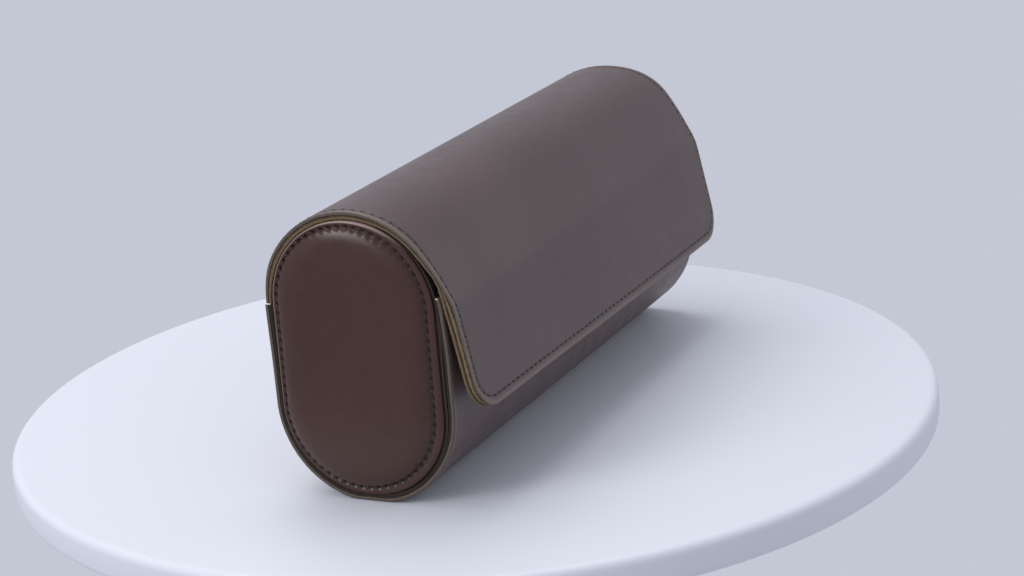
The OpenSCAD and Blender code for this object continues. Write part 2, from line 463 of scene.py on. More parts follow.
@dataclass
class Sheet:
    """A sheet that is drawn row by row along a profile in edit mode.

    Beside its even columns and rows it has columns at given insets from its two
    sides and rows at given insets from its end.
    """

    name: str
    profile: Profile
    half_width: float
    column_step: float
    row_step: float
    side_columns: Sequence[float] = ()
    end_rows: Sequence[float] = ()

    def draw(self) -> Piece:
        """Draws the bare sheet without thickness.

        Returns:
            The new object.
        """
        obj = self._first_row()
        with editing(obj):
            bpy.ops.mesh.select_all(action="SELECT")
            for index, piece in enumerate(self.profile.laid):
                last = index == len(self.profile.laid) - 1
                self._follow(piece, self.end_rows if last else ())
        return obj

    def draw_located(self) -> tuple[Piece, Array, Array]:
        """Draws the sheet and finds its vertices along the profile.

        Returns:
            The new object, each vertex's X and each vertex's run.
        """
        obj = self.draw()
        table = places(obj)
        return obj, table[:, 0], self.profile.locate(table[:, 1:])

    def _first_row(self) -> Piece:
        """Adds the row of points that the sheet starts from.

        Returns:
            The new object.
        """
        deselect()
        count = max(1, round(2 * self.half_width / self.column_step))
        bpy.ops.mesh.primitive_grid_add(x_subdivisions=count, y_subdivisions=1, size=1)
        obj = name_new(self.name)
        with editing(obj):
            bpy.ops.mesh.select_all(action="SELECT")
            bpy.ops.transform.resize(value=(2 * self.half_width, MM, 1))
            for inset in self.side_columns:
                for side in (-1, 1):
                    bpy.ops.mesh.select_all(action="SELECT")
                    bpy.ops.mesh.bisect(
                        plane_co=(side * (self.half_width - inset), 0, 0),
                        plane_no=(1, 0, 0), use_fill=False)
            select_where(obj, lambda co: co.y > 0)
            bpy.ops.mesh.delete(type="VERT")
            bpy.ops.mesh.select_all(action="SELECT")
            (y, z), _ = (part[0] for part in self.profile.place(np.zeros(1)))
            bpy.ops.transform.translate(value=(0, y + MM / 2, z))
        return obj

    def _follow(self, piece: Laid, end_rows: Sequence[float]) -> None:
        """Extrudes or spins the last row along one stretch.

        Args:
            piece: The stretch.
            end_rows: Insets of further rows from the stretch's end.
        """
        steps = max(1, math.ceil(piece.length / self.row_step))
        if isinstance(piece.kind, Bend):
            bpy.ops.mesh.spin(
                steps=steps, angle=-math.radians(piece.kind.angle),
                center=(0, *piece.centre), axis=(1, 0, 0))
            return
        stops = {round(piece.length * i / steps, 7) for i in range(1, steps + 1)}
        stops |= {round(piece.length - inset, 7) for inset in end_rows}
        way = (0, math.cos(piece.heading), math.sin(piece.heading))
        done = 0.0
        for stop in sorted(stops):
            move = tuple(c * (stop - done) for c in way)
            bpy.ops.mesh.extrude_region_move(TRANSFORM_OT_translate={"value": move})
            done = stop

    def wrap(self, obj: Piece, x: Array, run: Array,
             height: Array) -> None:
        """Lays the vertices on the profile again after they were shifted.

        Args:
            obj: The sheet.
            x: Each vertex's X.
            run: Each vertex's distance along the profile.
            height: Each vertex's rise above the profile.
        """
        points, outward = self.profile.place(run)
        rise = points + outward * np.asarray(height)[:, None]
        put_places(obj, np.column_stack([x, rise]))

    def frame_at(self, x: float, run: float, height: float, way: Point2) -> Matrix:
        """Frame of a small part that lies on the sheet.

        Args:
            x: Its X.
            run: Its distance along the profile.
            height: Its rise above the profile.
            way: Its direction as shares of X and of the run.

        Returns:
            The matrix, with the part's X along the direction and Z outwards.
        """
        points, outward = self.profile.place(np.array([run]))
        out = Vector((0, *outward[0]))
        along = Vector((0, -outward[0][1], outward[0][0]))
        heading = (Vector((1, 0, 0)) * way[0] + along * way[1]).normalized()
        return lay(Vector((x, *points[0])) + out * height, heading, out)


def thicken(obj: Piece, thickness: float, bevel: float,
            group: str = "", segments: int = 3) -> None:
    """Gives a sheet its thickness, cut edges of their own finish and soft corners.

    Args:
        obj: The sheet, whose faces point outwards.
        thickness: Its thickness, which grows inwards.
        bevel: Radius of the corners of its cut edges.
        group: A vertex group that scales the thickness, or nothing.
        segments: Facets of each corner.
    """
    shell = obj.vertex_groups.new(name="flesh")
    shell.add(range(len(obj.data.vertices)), 0.0, "REPLACE")
    apply(obj, "SOLIDIFY", thickness=thickness, offset=-1.0, use_even_offset=True,
          material_offset=1, material_offset_rim=2, shell_vertex_group="flesh",
          vertex_group=group)
    if bevel:
        apply(obj, "BEVEL", width=bevel, segments=segments, limit_method="ANGLE",
              angle_limit=math.radians(50), use_clamp_overlap=True, material=2)
    index = obj.vertex_groups["flesh"].index
    depth = np.zeros(len(obj.data.vertices))
    for vertex in obj.data.vertices:
        for entry in vertex.groups:
            if entry.group == index:
                depth[vertex.index] = entry.weight
    store(obj, "depth", depth)
    smooth(obj, 55)


# ---- Sizes ----------------------------------------------------------------


@dataclass(frozen=True)
class CaseSizes:
    """Sizes that several sub-assemblies share."""

    half_length: float = 103 * MM
    body_radius: float = 31.8 * MM
    low_centre: float = 31.1 * MM
    high_centre: float = 63.9 * MM
    drum_radius: float = 29.6 * MM
    sleeve_leather: float = 1.3 * MM
    sleeve_suede: float = 0.9 * MM
    front_top: float = 70.3 * MM
    seam_height: float = 64.6 * MM
    shell_top: float = 69.0 * MM
    rim_x: float = 102.7 * MM
    board_x: float = 101.5 * MM
    lining_x: float = 99.1 * MM
    room_x: float = 98.3 * MM
    room_radius: float = 26.6 * MM
    lining: float = 0.8 * MM
    pitch: float = 66.8 * MM
    floor_ease: float = 20.0 * MM

    def u_profile(self, inset: float, front_top: float, back_top: float) -> Profile:
        """Profile of the sleeve's U, from the front wall's top to the back's.

        Args:
            inset: Distance below the sleeve's outer surface.
            front_top: Height at which the front wall ends.
            back_top: Height at which the back wall ends.

        Returns:
            The profile, with its outside outwards.
        """
        radius = self.body_radius - inset
        lean = arc(front_top - self.high_centre, radius)
        rise = arc(back_top - self.high_centre, radius)
        wall = Straight(self.high_centre - self.low_centre)
        ease = self.floor_ease - inset
        turn = math.acos((self.low_centre - self.floor_ease) / (radius - ease))
        flat = Straight(2 * (radius - ease) * math.sin(turn))
        turn = math.degrees(turn)
        start = (-radius * math.cos(math.radians(lean)), front_top)
        return Profile(start, 270 - lean, (
            Bend(radius, lean), wall, Bend(radius, 90 - turn), Bend(ease, turn), flat,
            Bend(ease, turn), Bend(radius, 90 - turn), wall, Bend(radius, rise),
        ))


SIZES = CaseSizes()


def outward_faces(obj: Piece) -> None:
    """Turns a bare sheet's faces away from the case's middle.

    Args:
        obj: The sheet, which goes at least half round the case.
    """
    mesh = obj.data
    middle = Vector((0, 0, (SIZES.low_centre + SIZES.high_centre) / 2))
    pointing = 0.0
    for face in mesh.polygons:
        away = face.center - middle
        away.x = 0
        pointing += face.normal.dot(away)
    if pointing < 0:
        with editing(obj):
            bpy.ops.mesh.select_all(action="SELECT")
            bpy.ops.mesh.flip_normals()


# ---- Finishes -------------------------------------------------------------


class Nodes:
    """A short way to write a material's nodes."""

    def __init__(self, name: str):
        """Starts a material with a bare principled shader.

        Args:
            name: The material's name.
        """
        self.material = bpy.data.materials.new(name)
        self.material.use_nodes = True
        self.tree = self.material.node_tree
        self.shader = self.tree.nodes["Principled BSDF"]
        self.coords = self.tree.nodes.new("ShaderNodeTexCoord").outputs["Object"]

    def link(self, source: Socket, target: Socket) -> None:
        """Links one socket to another."""
        self.tree.links.new(source, target)

    def attribute(self, name: str) -> Socket:
        """The piece's own number for each vertex.

        Args:
            name: The attribute's name.

        Returns:
            Its value.
        """
        node = self.tree.nodes.new("ShaderNodeAttribute")
        node.attribute_name = name
        return node.outputs["Fac"]

    def stretched(self, scale: Point3) -> Socket:
        """Object coordinates, scaled on each axis.

        Args:
            scale: The scale on X, Y and Z.

        Returns:
            The coordinates.
        """
        node = self.tree.nodes.new("ShaderNodeMapping")
        node.inputs["Scale"].default_value = scale
        self.link(self.coords, node.inputs["Vector"])
        return node.outputs["Vector"]

    def noise(self, scale: float, detail: float = 3.0, rough: float = 0.55,
              vector: Socket | None = None) -> Socket:
        """Soft noise.

        Args:
            scale: Features to the metre.
            detail: Number of finer layers.
            rough: Share of each finer layer.
            vector: Coordinates, or nothing for the object's own.

        Returns:
            A value from 0 to 1.
        """
        node = self.tree.nodes.new("ShaderNodeTexNoise")
        node.inputs["Scale"].default_value = scale
        node.inputs["Detail"].default_value = detail
        node.inputs["Roughness"].default_value = rough
        self.link(vector or self.coords, node.inputs["Vector"])
        return node.outputs["Fac"]

    def cells(self, scale: float) -> Socket:
        """Distances from the middles of cells, as of pores.

        Args:
            scale: Cells to the metre.

        Returns:
            The distance.
        """
        node = self.tree.nodes.new("ShaderNodeTexVoronoi")
        node.inputs["Scale"].default_value = scale
        self.link(self.coords, node.inputs["Vector"])
        return node.outputs["Distance"]

    def fit(self, value: Socket, low: float, high: float,
            to_low: float = 0.0, to_high: float = 1.0) -> Socket:
        """Maps a range of a value to another range.

        Args:
            value: The value.
            low: Start of its range.
            high: End of its range.
            to_low: What the start becomes.
            to_high: What the end becomes.

        Returns:
            The new value.
        """
        node = self.tree.nodes.new("ShaderNodeMapRange")
        node.interpolation_type = "SMOOTHSTEP"
        for socket, number in zip(("From Min", "From Max", "To Min", "To Max"),
                                  (low, high, to_low, to_high)):
            node.inputs[socket].default_value = number
        self.link(value, node.inputs["Value"])
        return node.outputs["Result"]

    def math(self, kind: str, a: Socket,
             b: Socket | float) -> Socket:
        """One sum or product of two values.

        Args:
            kind: The operation's name.
            a: A value.
            b: A value or a number.

        Returns:
            The outcome.
        """
        node = self.tree.nodes.new("ShaderNodeMath")
        node.operation = kind
        self.link(a, node.inputs[0])
        if isinstance(b, float):
            node.inputs[1].default_value = b
        else:
            self.link(b, node.inputs[1])
        return node.outputs[0]

    def bands(self, value: Socket,
              stops: Sequence[tuple[float, Colour]]) -> Socket:
        """Colours along a value.

        Args:
            value: The value.
            stops: Places from 0 to 1, each with its colour.

        Returns:
            The colour.
        """
        node = self.tree.nodes.new("ShaderNodeValToRGB")
        points = node.color_ramp.elements
        while len(points) < len(stops):
            points.new(1.0)
        for point, (place, colour) in zip(points, stops):
            point.position = place
            point.color = (*colour, 1.0)
        self.link(value, node.inputs["Fac"])
        return node.outputs["Color"]

    def mix(self, share: Socket, a: Socket | Colour,
            b: Socket | Colour) -> Socket:
        """Mixes two colours.

        Args:
            share: The share of the second colour.
            a: The first colour.
            b: The second colour.

        Returns:
            The mixed colour.
        """
        node = self.tree.nodes.new("ShaderNodeMix")
        node.data_type = "RGBA"
        self.link(share, node.inputs[0])
        for socket, source in ((node.inputs[6], a), (node.inputs[7], b)):
            if isinstance(source, tuple):
                socket.default_value = (*source, 1.0)
            else:
                self.link(source, socket)
        return node.outputs[2]

    def bump(self, height: Socket, distance: float, strength: float,
             below: Socket | None = None) -> Socket:
        """Surface relief of a height in metres.

        Args:
            height: A value from 0 to 1.
            distance: The relief that it stands for.
            strength: How fully it shows.
            below: The normal of a coarser relief, or nothing.

        Returns:
            The normal.
        """
        node = self.tree.nodes.new("ShaderNodeBump")
        node.inputs["Distance"].default_value = distance
        node.inputs["Strength"].default_value = strength
        self.link(height, node.inputs["Height"])
        if below is not None:
            self.link(below, node.inputs["Normal"])
        return node.outputs["Normal"]

    def finish(self, colour: Socket, rough: Socket,
               normal: Socket, **fixed: float) -> Material:
        """Feeds the shader and returns the material.

        Args:
            colour: Base colour.
            rough: Roughness.
            normal: Surface normal.
            **fixed: Numbers for the shader's other sockets, "_" for a blank.

        Returns:
            The finished material.
        """
        self.link(colour, self.shader.inputs["Base Color"])
        self.link(rough, self.shader.inputs["Roughness"])
        self.link(normal, self.shader.inputs["Normal"])
        for name, value in fixed.items():
            self.shader.inputs[name.replace("_", " ")].default_value = value
        return self.material


@dataclass(frozen=True)
class GrainLeather:
    """Smooth waxed leather with fine pores, cloudy tone and a painted highlight along its
    margins.
    """

    name: str
    deep: Colour
    base: Colour
    margin: Colour
    margin_width: float = 2.6 * MM
    gloss: Point2 = (0.36, 0.46)
    specular: float = 0.45
    warmth: float = 1.3
    hole_shade: float = 0.22
    margin_share: float = 0.75

    def material(self) -> Material:
        """Builds the material.

        Returns:
            The material.
        """
        n = Nodes(self.name)
        cloud = n.noise(17, 1, 0.4)
        tone = n.mix(n.fit(cloud, 0.2, 0.8), self.deep, self.base)
        mottle = n.noise(170, 3, 0.55)
        warm = tuple(c * self.warmth for c in self.base)
        tone = n.mix(n.fit(mottle, 0.35, 0.8, 0.0, 0.15), tone, warm)
        # Painted highlight: the margin colour is mixed in near the edges and stands in for
        # the light that the rounded edges catch.
        near = n.fit(n.attribute("edge"), 0.2 * self.margin_width, self.margin_width,
                     1.0, 0.0)
        tone = n.mix(n.math("MULTIPLY", near, self.margin_share), tone, self.margin)
        # Painted shade: the hole attribute darkens the stitch groove and its holes.
        dark = tuple(c * self.hole_shade for c in self.deep)
        tone = n.mix(n.attribute("hole"), tone, dark)
        rough = n.fit(mottle, 0.3, 0.7, *self.gloss)
        relief = n.bump(n.noise(45, 1, 0.4), 0.5 * MM, 0.08)
        relief = n.bump(n.cells(2300), 0.03 * MM, 0.035, relief)
        relief = n.bump(n.noise(5200, 3, 0.6), 0.02 * MM, 0.06, relief)
        return n.finish(tone, rough, relief, Specular_IOR_Level=self.specular)


@dataclass(frozen=True)
class CutEdge:
    """The cut edge of a sheet: burnished at the grain and raw at the flesh, with painted
    shade in its darkest bands where layers meet.
    """

    name: str
    bands: tuple[tuple[float, Colour], ...]
    fuzz: float = 0.12 * MM
    roughness: float = 0.62
    pit: Colour = (0.02, 0.013, 0.01)

    def material(self) -> Material:
        """Builds the material.

        Returns:
            The material.
        """
        n = Nodes(self.name)
        wave = n.noise(900, 3, 0.6)
        depth = n.math("ADD", n.attribute("depth"), n.fit(wave, 0.3, 0.7, -0.1, 0.1))
        tone = n.bands(depth, self.bands)
        fibre = n.noise(2600, 4, 0.7)
        tone = n.mix(n.fit(fibre, 0.35, 0.75, 0.0, 0.45), tone, self.pit)
        rough = n.fit(fibre, 0.3, 0.7, self.roughness, self.roughness + 0.12)
        relief = n.bump(wave, self.fuzz, 0.5)
        relief = n.bump(fibre, self.fuzz, 0.6, relief)
        return n.finish(tone, rough, relief, Specular_IOR_Level=0.4)


@dataclass(frozen=True)
class Suede:
    """Napped suede with a rough pile and cloudy, brushed tone."""

    name: str
    dark: Colour
    light: Colour
    pile: float = 0.25 * MM
    sheen: float = 0.25
    grain: float = 1500.0

    def material(self) -> Material:
        """Builds the material.

        Returns:
            The material.
        """
        n = Nodes(self.name)
        brushed = n.noise(90, 4, 0.65)
        nap = n.noise(self.grain, 4, 0.7)
        tone = n.mix(n.fit(brushed, 0.3, 0.7, 0.25, 0.8), self.dark, self.light)
        tone = n.mix(n.fit(nap, 0.35, 0.7, 0.0, 0.6), tone, self.dark)
        rough = n.fit(nap, 0.3, 0.7, 0.86, 0.98)
        relief = n.bump(nap, self.pile, 0.6)
        relief = n.bump(n.noise(self.grain * 3, 3, 0.6), self.pile / 2, 0.5, relief)
        material = n.finish(tone, rough, relief, Specular_IOR_Level=0.25,
                            Sheen_Weight=self.sheen, Sheen_Roughness=0.5)
        n.shader.inputs["Sheen Tint"].default_value = (*self.light, 1.0)
        return material


@dataclass(frozen=True)
class Thread:
    """Waxed sewing thread with its twist."""

    name: str
    dark: Colour
    light: Colour
    gloss: float = 0.5

    def material(self) -> Material:
        """Builds the material.

        Returns:
            The material.
        """
        n = Nodes(self.name)
        strand = n.noise(3800, 3, 0.6)
        tone = n.mix(n.fit(strand, 0.35, 0.65), self.dark, self.light)
        rough = n.fit(strand, 0.3, 0.7, self.gloss, self.gloss + 0.15)
        return n.finish(tone, rough, n.bump(strand, 0.06 * MM, 0.6))


@dataclass(frozen=True)
class Solid:
    """Board or metal: two tones, a texture of one scale and its gloss."""

    name: str
    dark: Colour
    light: Colour
    grain: float
    depth: float
    rough: Point2
    stretch: Point3 = (1.0, 1.0, 1.0)
    metallic: float = 0.0

    def material(self) -> Material:
        """Builds the material.

        Returns:
            The material.
        """
        n = Nodes(self.name)
        grain = n.noise(self.grain, 4, 0.65, n.stretched(self.stretch))
        tone = n.mix(n.fit(grain, 0.3, 0.7), self.dark, self.light)
        rough = n.fit(grain, 0.3, 0.7, *self.rough)
        relief = n.bump(grain, self.depth, 0.5)
        return n.finish(tone, rough, relief, Metallic=self.metallic)


def made(finish: GrainLeather | CutEdge | Suede | Thread | Solid) -> Material:
    """A dataclass field that holds a finish's material, built with the object."""
    return field(default_factory=finish.material)


@dataclass
class Finishes:
    """Every finish of the case, built once and shared."""

    # Its light margin colour is a painted highlight along the rounded edges.
    outer: Material = made(GrainLeather(
        "outer_leather", (0.072, 0.0465, 0.044), (0.089, 0.058, 0.0545),
        (0.165, 0.124, 0.1), 2.3 * MM))
    # Its light margin colour is a painted highlight on the ends' rounded rim.
    ends: Material = made(GrainLeather(
        "end_leather", (0.043, 0.0165, 0.0105), (0.052, 0.02, 0.013),
        (0.5, 0.37, 0.32), 1.05 * MM, (0.26, 0.34), 0.4))
    # The bright grain-side band is partly burnish and partly a painted highlight; the dark
    # flesh-side bands are painted shade in the groove beside the suede.
    edge: Material = made(CutEdge(
        "burnished_edge", (
            (0.0, (0.21, 0.16, 0.122)), (0.2, (0.12, 0.092, 0.07)),
            (0.66, (0.1, 0.077, 0.058)), (0.8, (0.03, 0.018, 0.01)),
            (1.0, (0.018, 0.011, 0.006))), 0.12 * MM, 0.46))
    sleeve_edge: Material = made(CutEdge(
        "sleeve_edge", (
            (0.0, (0.075, 0.06, 0.05)), (0.35, (0.112, 0.086, 0.065)),
            (0.8, (0.112, 0.085, 0.06)), (1.0, (0.045, 0.033, 0.022)))))
    # Kept near black: painted shade of the deep groove between the end panel and the sleeve.
    sleeve_suede_edge: Material = made(CutEdge(
        "sleeve_suede_edge", (
            (0.0, (0.018, 0.012, 0.008)), (0.4, (0.026, 0.018, 0.012)),
            (1.0, (0.014, 0.009, 0.006))), 0.12 * MM, 0.8))
    # Dark at both faces: painted shade in the gaps beside the leather and the suede.
    board_edge: Material = made(CutEdge(
        "board_edge", (
            (0.14, (0.028, 0.017, 0.008)), (0.28, (0.18, 0.125, 0.053)),
            (0.7, (0.19, 0.132, 0.056)), (0.84, (0.026, 0.016, 0.008)))))
    # Dark at the leather side: painted shade in the groove between the layers.
    suede_edge: Material = made(CutEdge(
        "suede_edge", (
            (0.0, (0.018, 0.011, 0.006)), (0.22, (0.1, 0.067, 0.03)),
            (0.6, (0.17, 0.114, 0.058)), (0.88, (0.215, 0.145, 0.08)),
            (1.0, (0.12, 0.08, 0.045))),
        0.35 * MM, 0.85))
    olive: Material = made(Suede(
        "olive_suede", (0.075, 0.05, 0.02), (0.17, 0.12, 0.048)))
    tan: Material = made(Suede(
        "tan_microsuede", (0.30, 0.22, 0.125), (0.46, 0.35, 0.21),
        0.1 * MM, 0.3, 2600))
    cushion: Material = made(Suede(
        "cushion_microsuede", (0.29, 0.21, 0.12), (0.44, 0.33, 0.2),
        0.12 * MM, 0.35, 2400))
    thread: Material = made(Thread(
        "brown_thread", (0.008, 0.005, 0.0045), (0.022, 0.014, 0.013), 0.62))
    end_thread: Material = made(Thread(
        "end_thread", (0.014, 0.007, 0.006), (0.036, 0.02, 0.018), 0.36))
    pale_thread: Material = made(Thread(
        "pale_thread", (0.62, 0.58, 0.52), (0.9, 0.87, 0.82)))
    board: Material = made(Solid(
        "fibre_board", (0.16, 0.11, 0.06), (0.3, 0.215, 0.12), 700, 0.08 * MM,
        (0.75, 0.9), (0.3, 1.0, 1.0)))
    # Dark brown board, darkened further as painted shade of the groove where its edges show.
    end_board: Material = made(Solid(
        "stained_board", (0.022, 0.015, 0.011), (0.038, 0.026, 0.02), 900, 0.06 * MM,
        (0.7, 0.85)))
    steel: Material = made(Solid(
        "zinc_steel", (0.45, 0.46, 0.47), (0.66, 0.67, 0.68), 900, 0.01 * MM,
        (0.28, 0.42), (0.15, 1.0, 1.0), 1.0))


def dress(obj: Piece, *materials: Material) -> None:
    """Gives a piece its materials in the order of its slots.

    Args:
        obj: The piece.
        *materials: Its materials; a thickened sheet has its face, flesh and cut edge.
    """
    obj.data.materials.clear()
    for material in materials:
        obj.data.materials.append(material)


# ---- Stitching ------------------------------------------------------------


@dataclass(frozen=True)
class Stitch:
    """One visible stitch, whose ends dip into their holes."""

    length: float = 2.3 * MM
    width: float = 0.62 * MM
    height: float = 0.42 * MM
    dip: float = 0.32 * MM
    tip: float = 0.36

    def model(self) -> Piece:
        """Models the stitch along X with its outside up.

        Returns:
            The stitch.
        """
        deselect()
        bpy.ops.mesh.primitive_uv_sphere_add(segments=8, ring_count=6, radius=0.5)
        obj = name_new("stitch")
        obj.rotation_euler = (0, math.pi / 2, 0)
        settle(obj)
        with editing(obj):
            bpy.ops.mesh.select_all(action="SELECT")
            bpy.ops.transform.resize(value=(self.width, self.width, self.height))
            for side in (-1, 1):
                select_where(obj, lambda co: co.x * side > 1e-6)
                shift = side * (self.length - self.width) / 2
                bpy.ops.transform.translate(value=(shift, 0, 0))
                select_where(obj, lambda co: co.x * side > self.length * self.tip)
                bpy.ops.transform.translate(value=(0, 0, -self.dip))
        return obj


@dataclass(frozen=True)
class Press:
    """How a stitch line is pressed into leather.

    Its groove has the depth of the line and is deeper at each hole. Beside it the leather
    lifts, except where a stitch pulls it down. A painted shade darkens the groove, most at
    the holes.
    """

    line: float
    hole: float
    width: float
    sharpness: float
    lift: float
    pull: float
    lift_gap: float
    lift_width: float
    # Painted shade in the groove: its width, its share along the line and how it gathers at
    # the holes.
    stain_width: float
    stain_line: float
    stain_sharpness: float

    def near_hole(self, phase: Array, sharpness: float) -> Array:
        """Nearness to a hole, from 0 between two holes to 1 at one."""
        return (0.5 + 0.5 * np.cos(2 * math.pi * phase)) ** sharpness

    def height(self, off: Array, phase: Array) -> Array:
        """Height of the leather at the line and on its inner side.

        Args:
            off: Distances from the line, inwards.
            phase: Distances along it, in stitches.

        Returns:
            The heights.
        """
        hole = self.near_hole(phase, self.sharpness)
        groove = -(self.line + self.hole * hole) * gauss(off, 0, self.width)
        beside = self.lift - self.pull * hole
        return groove + beside * gauss(off, self.lift_gap, self.lift_width)

    def stain(self, off: Array, phase: Array) -> Array:
        """Painted shade in the groove, darkest at the holes.

        Args:
            off: Distances from the line, inwards.
            phase: Distances along it, in stitches.

        Returns:
            The shares of the dark tone.
        """
        hole = self.near_hole(phase, self.stain_sharpness)
        share = self.stain_line + (1 - self.stain_line) * hole
        return gauss(off, 0, self.stain_width) * share


def sew(name: str, stitch: Stitch, frames: Iterable[Matrix],
        material: Material) -> Piece:
    """Copies a stitch to each place and joins the copies.

    Args:
        name: The piece's name.
        stitch: The stitch that is repeated.
        frames: The place and turn of each copy.
        material: The thread's finish.

    Returns:
        The joined stitches.
    """
    first = stitch.model()
    copies = []
    for frame in frames:
        mesh = first.data.copy()
        mesh.transform(frame)
        copy = bpy.data.objects.new(name, mesh)
        bpy.context.scene.collection.objects.link(copy)
        copies.append(copy)
    bpy.data.objects.remove(first)
    row = join(copies, name)
    dress(row, material)
    smooth(row, 80)
    return row


# ---- Sleeve ---------------------------------------------------------------


@dataclass
class Sleeve:
    """The leather sleeve, its suede, and the seams along its two top edges."""

    finishes: Finishes
    column_step: float = 2.6 * MM
    row_step: float = 1.1 * MM
    side_columns: Point2 = (0.9 * MM, 1.7 * MM)
    corner: float = 0.38 * MM
    front_stand: float = 1.1 * MM
    front_rise: float = 22 * MM
    front_fall: Point2 = (34 * MM, 66 * MM)
    back_stand: float = 0.35 * MM
    back_run: float = 22 * MM
    sway: float = 0.25
    sway_rate: float = 40.0
    suede_half: float = 102.8 * MM
    suede_column: float = 6 * MM
    suede_row: float = 1.6 * MM
    suede_corner: float = 0.28 * MM
    suede_gap: float = 0.02 * MM
    seam_lap: float = 4.6 * MM
    stitch_pitch: float = 3.4 * MM
    stitch_inset: float = 2.6 * MM
    stitch_lift: float = 0.06 * MM
    tack: Stitch = Stitch(2.1 * MM, 0.5 * MM, 0.5 * MM, 0.15 * MM)
    tack_x: float = 103.05 * MM
    tack_places: tuple[tuple[float, float, float, float], ...] = (
        (31.0 * MM, 64.75 * MM, 1.0, 1.0), (-30.3 * MM, 70.0 * MM, 0.8, 0.34))

    def build(self) -> None:
        """Builds the sleeve's pieces."""
        self.skin()
        self.suede()
        self.seams()
        self.tacks()

    def stand_off(self, profile: Profile, run: Array, x: Array) -> Array:
        """How far the soft walls stand off the drum at each run.

        Args:
            profile: The U that the sheet follows.
            run: Distances from the front wall's top.
            x: Places along the case.

        Returns:
            The outward distances.
        """
        front = ramp(run, 0, self.front_rise) * (1 - ramp(run, *self.front_fall))
        back = ramp(run, profile.length - self.back_run, profile.length)
        sway = 1 - self.sway * np.cos(x * self.sway_rate) ** 2
        return (self.front_stand * front + self.back_stand * back) * sway

    def skin(self) -> None:
        """The outer leather, from the front wall's top to the back seam."""
        profile = SIZES.u_profile(0, SIZES.front_top, SIZES.seam_height)
        sheet = Sheet("sleeve_skin", profile, SIZES.half_length, self.column_step,
                      self.row_step, self.side_columns)
        obj, x, run = sheet.draw_located()
        sheet.wrap(obj, x, run, self.stand_off(profile, run, x))
        side = SIZES.half_length - np.abs(x)
        store(obj, "edge", np.minimum(side, run))
        outward_faces(obj)
        f = self.finishes
        dress(obj, f.outer, f.olive, f.sleeve_edge)
        thicken(obj, SIZES.sleeve_leather, self.corner)
        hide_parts("sleeve_leather")
        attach(obj, Body.CASE.value)

    def suede(self) -> None:
        """The suede inside the sleeve, set back from the leather's ends."""
        profile = SIZES.u_profile(SIZES.sleeve_leather, SIZES.front_top,
                                  SIZES.seam_height - self.seam_lap)
        sheet = Sheet("sleeve_suede", profile, self.suede_half, self.suede_column,
                      self.suede_row)
        obj, x, run = sheet.draw_located()
        sheet.wrap(obj, x, run, self.stand_off(profile, run, x) - self.suede_gap)
        outward_faces(obj)
        f = self.finishes
        dress(obj, f.olive, f.olive, f.sleeve_suede_edge)
        thicken(obj, SIZES.sleeve_suede, self.suede_corner)
        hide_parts("sleeve_lining")
        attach(obj, Body.CASE.value)

    def seams(self) -> None:
        """The stitches along the front wall's top and below the back seam."""
        profile = SIZES.u_profile(0, SIZES.front_top, SIZES.seam_height)
        sheet = Sheet("row", profile, SIZES.half_length, 1, 1)
        width = 2 * (SIZES.half_length - self.stitch_inset)
        count = round(width / self.stitch_pitch)
        step = width / count
        rows = (("front_wall_stitches", self.stitch_inset),
                ("back_seam_stitches", profile.length - self.stitch_inset))
        for name, run in rows:
            frames = []
            for i in range(count):
                x = -SIZES.half_length + self.stitch_inset + step * (i + 0.5)
                rise = self.stand_off(profile, np.array([run]), np.array([x]))[0]
                frames.append(sheet.frame_at(x, run, rise + self.stitch_lift, (1, 0)))
            row = sew(name, Stitch(), frames, self.finishes.thread)
            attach(row, Body.CASE.value)

    def tacks(self) -> None:
        """The pale thread ends at the seam and at the front wall's top corners."""
        frames = []
        for side in (-1, 1):
            out = Vector((side, 0, 0))
            for y, z, way, share in self.tack_places:
                along = Vector((0, way, 1 - way)).normalized()
                spot = Vector((side * self.tack_x, y, z))
                frames.append(lay(spot, along, out) @ Matrix.Diagonal((share, 1, 1, 1)))
        row = sew("pale_thread_ends", self.tack, frames, self.finishes.pale_thread)
        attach(row, Body.CASE.value)


# ---- Flap -----------------------------------------------------------------


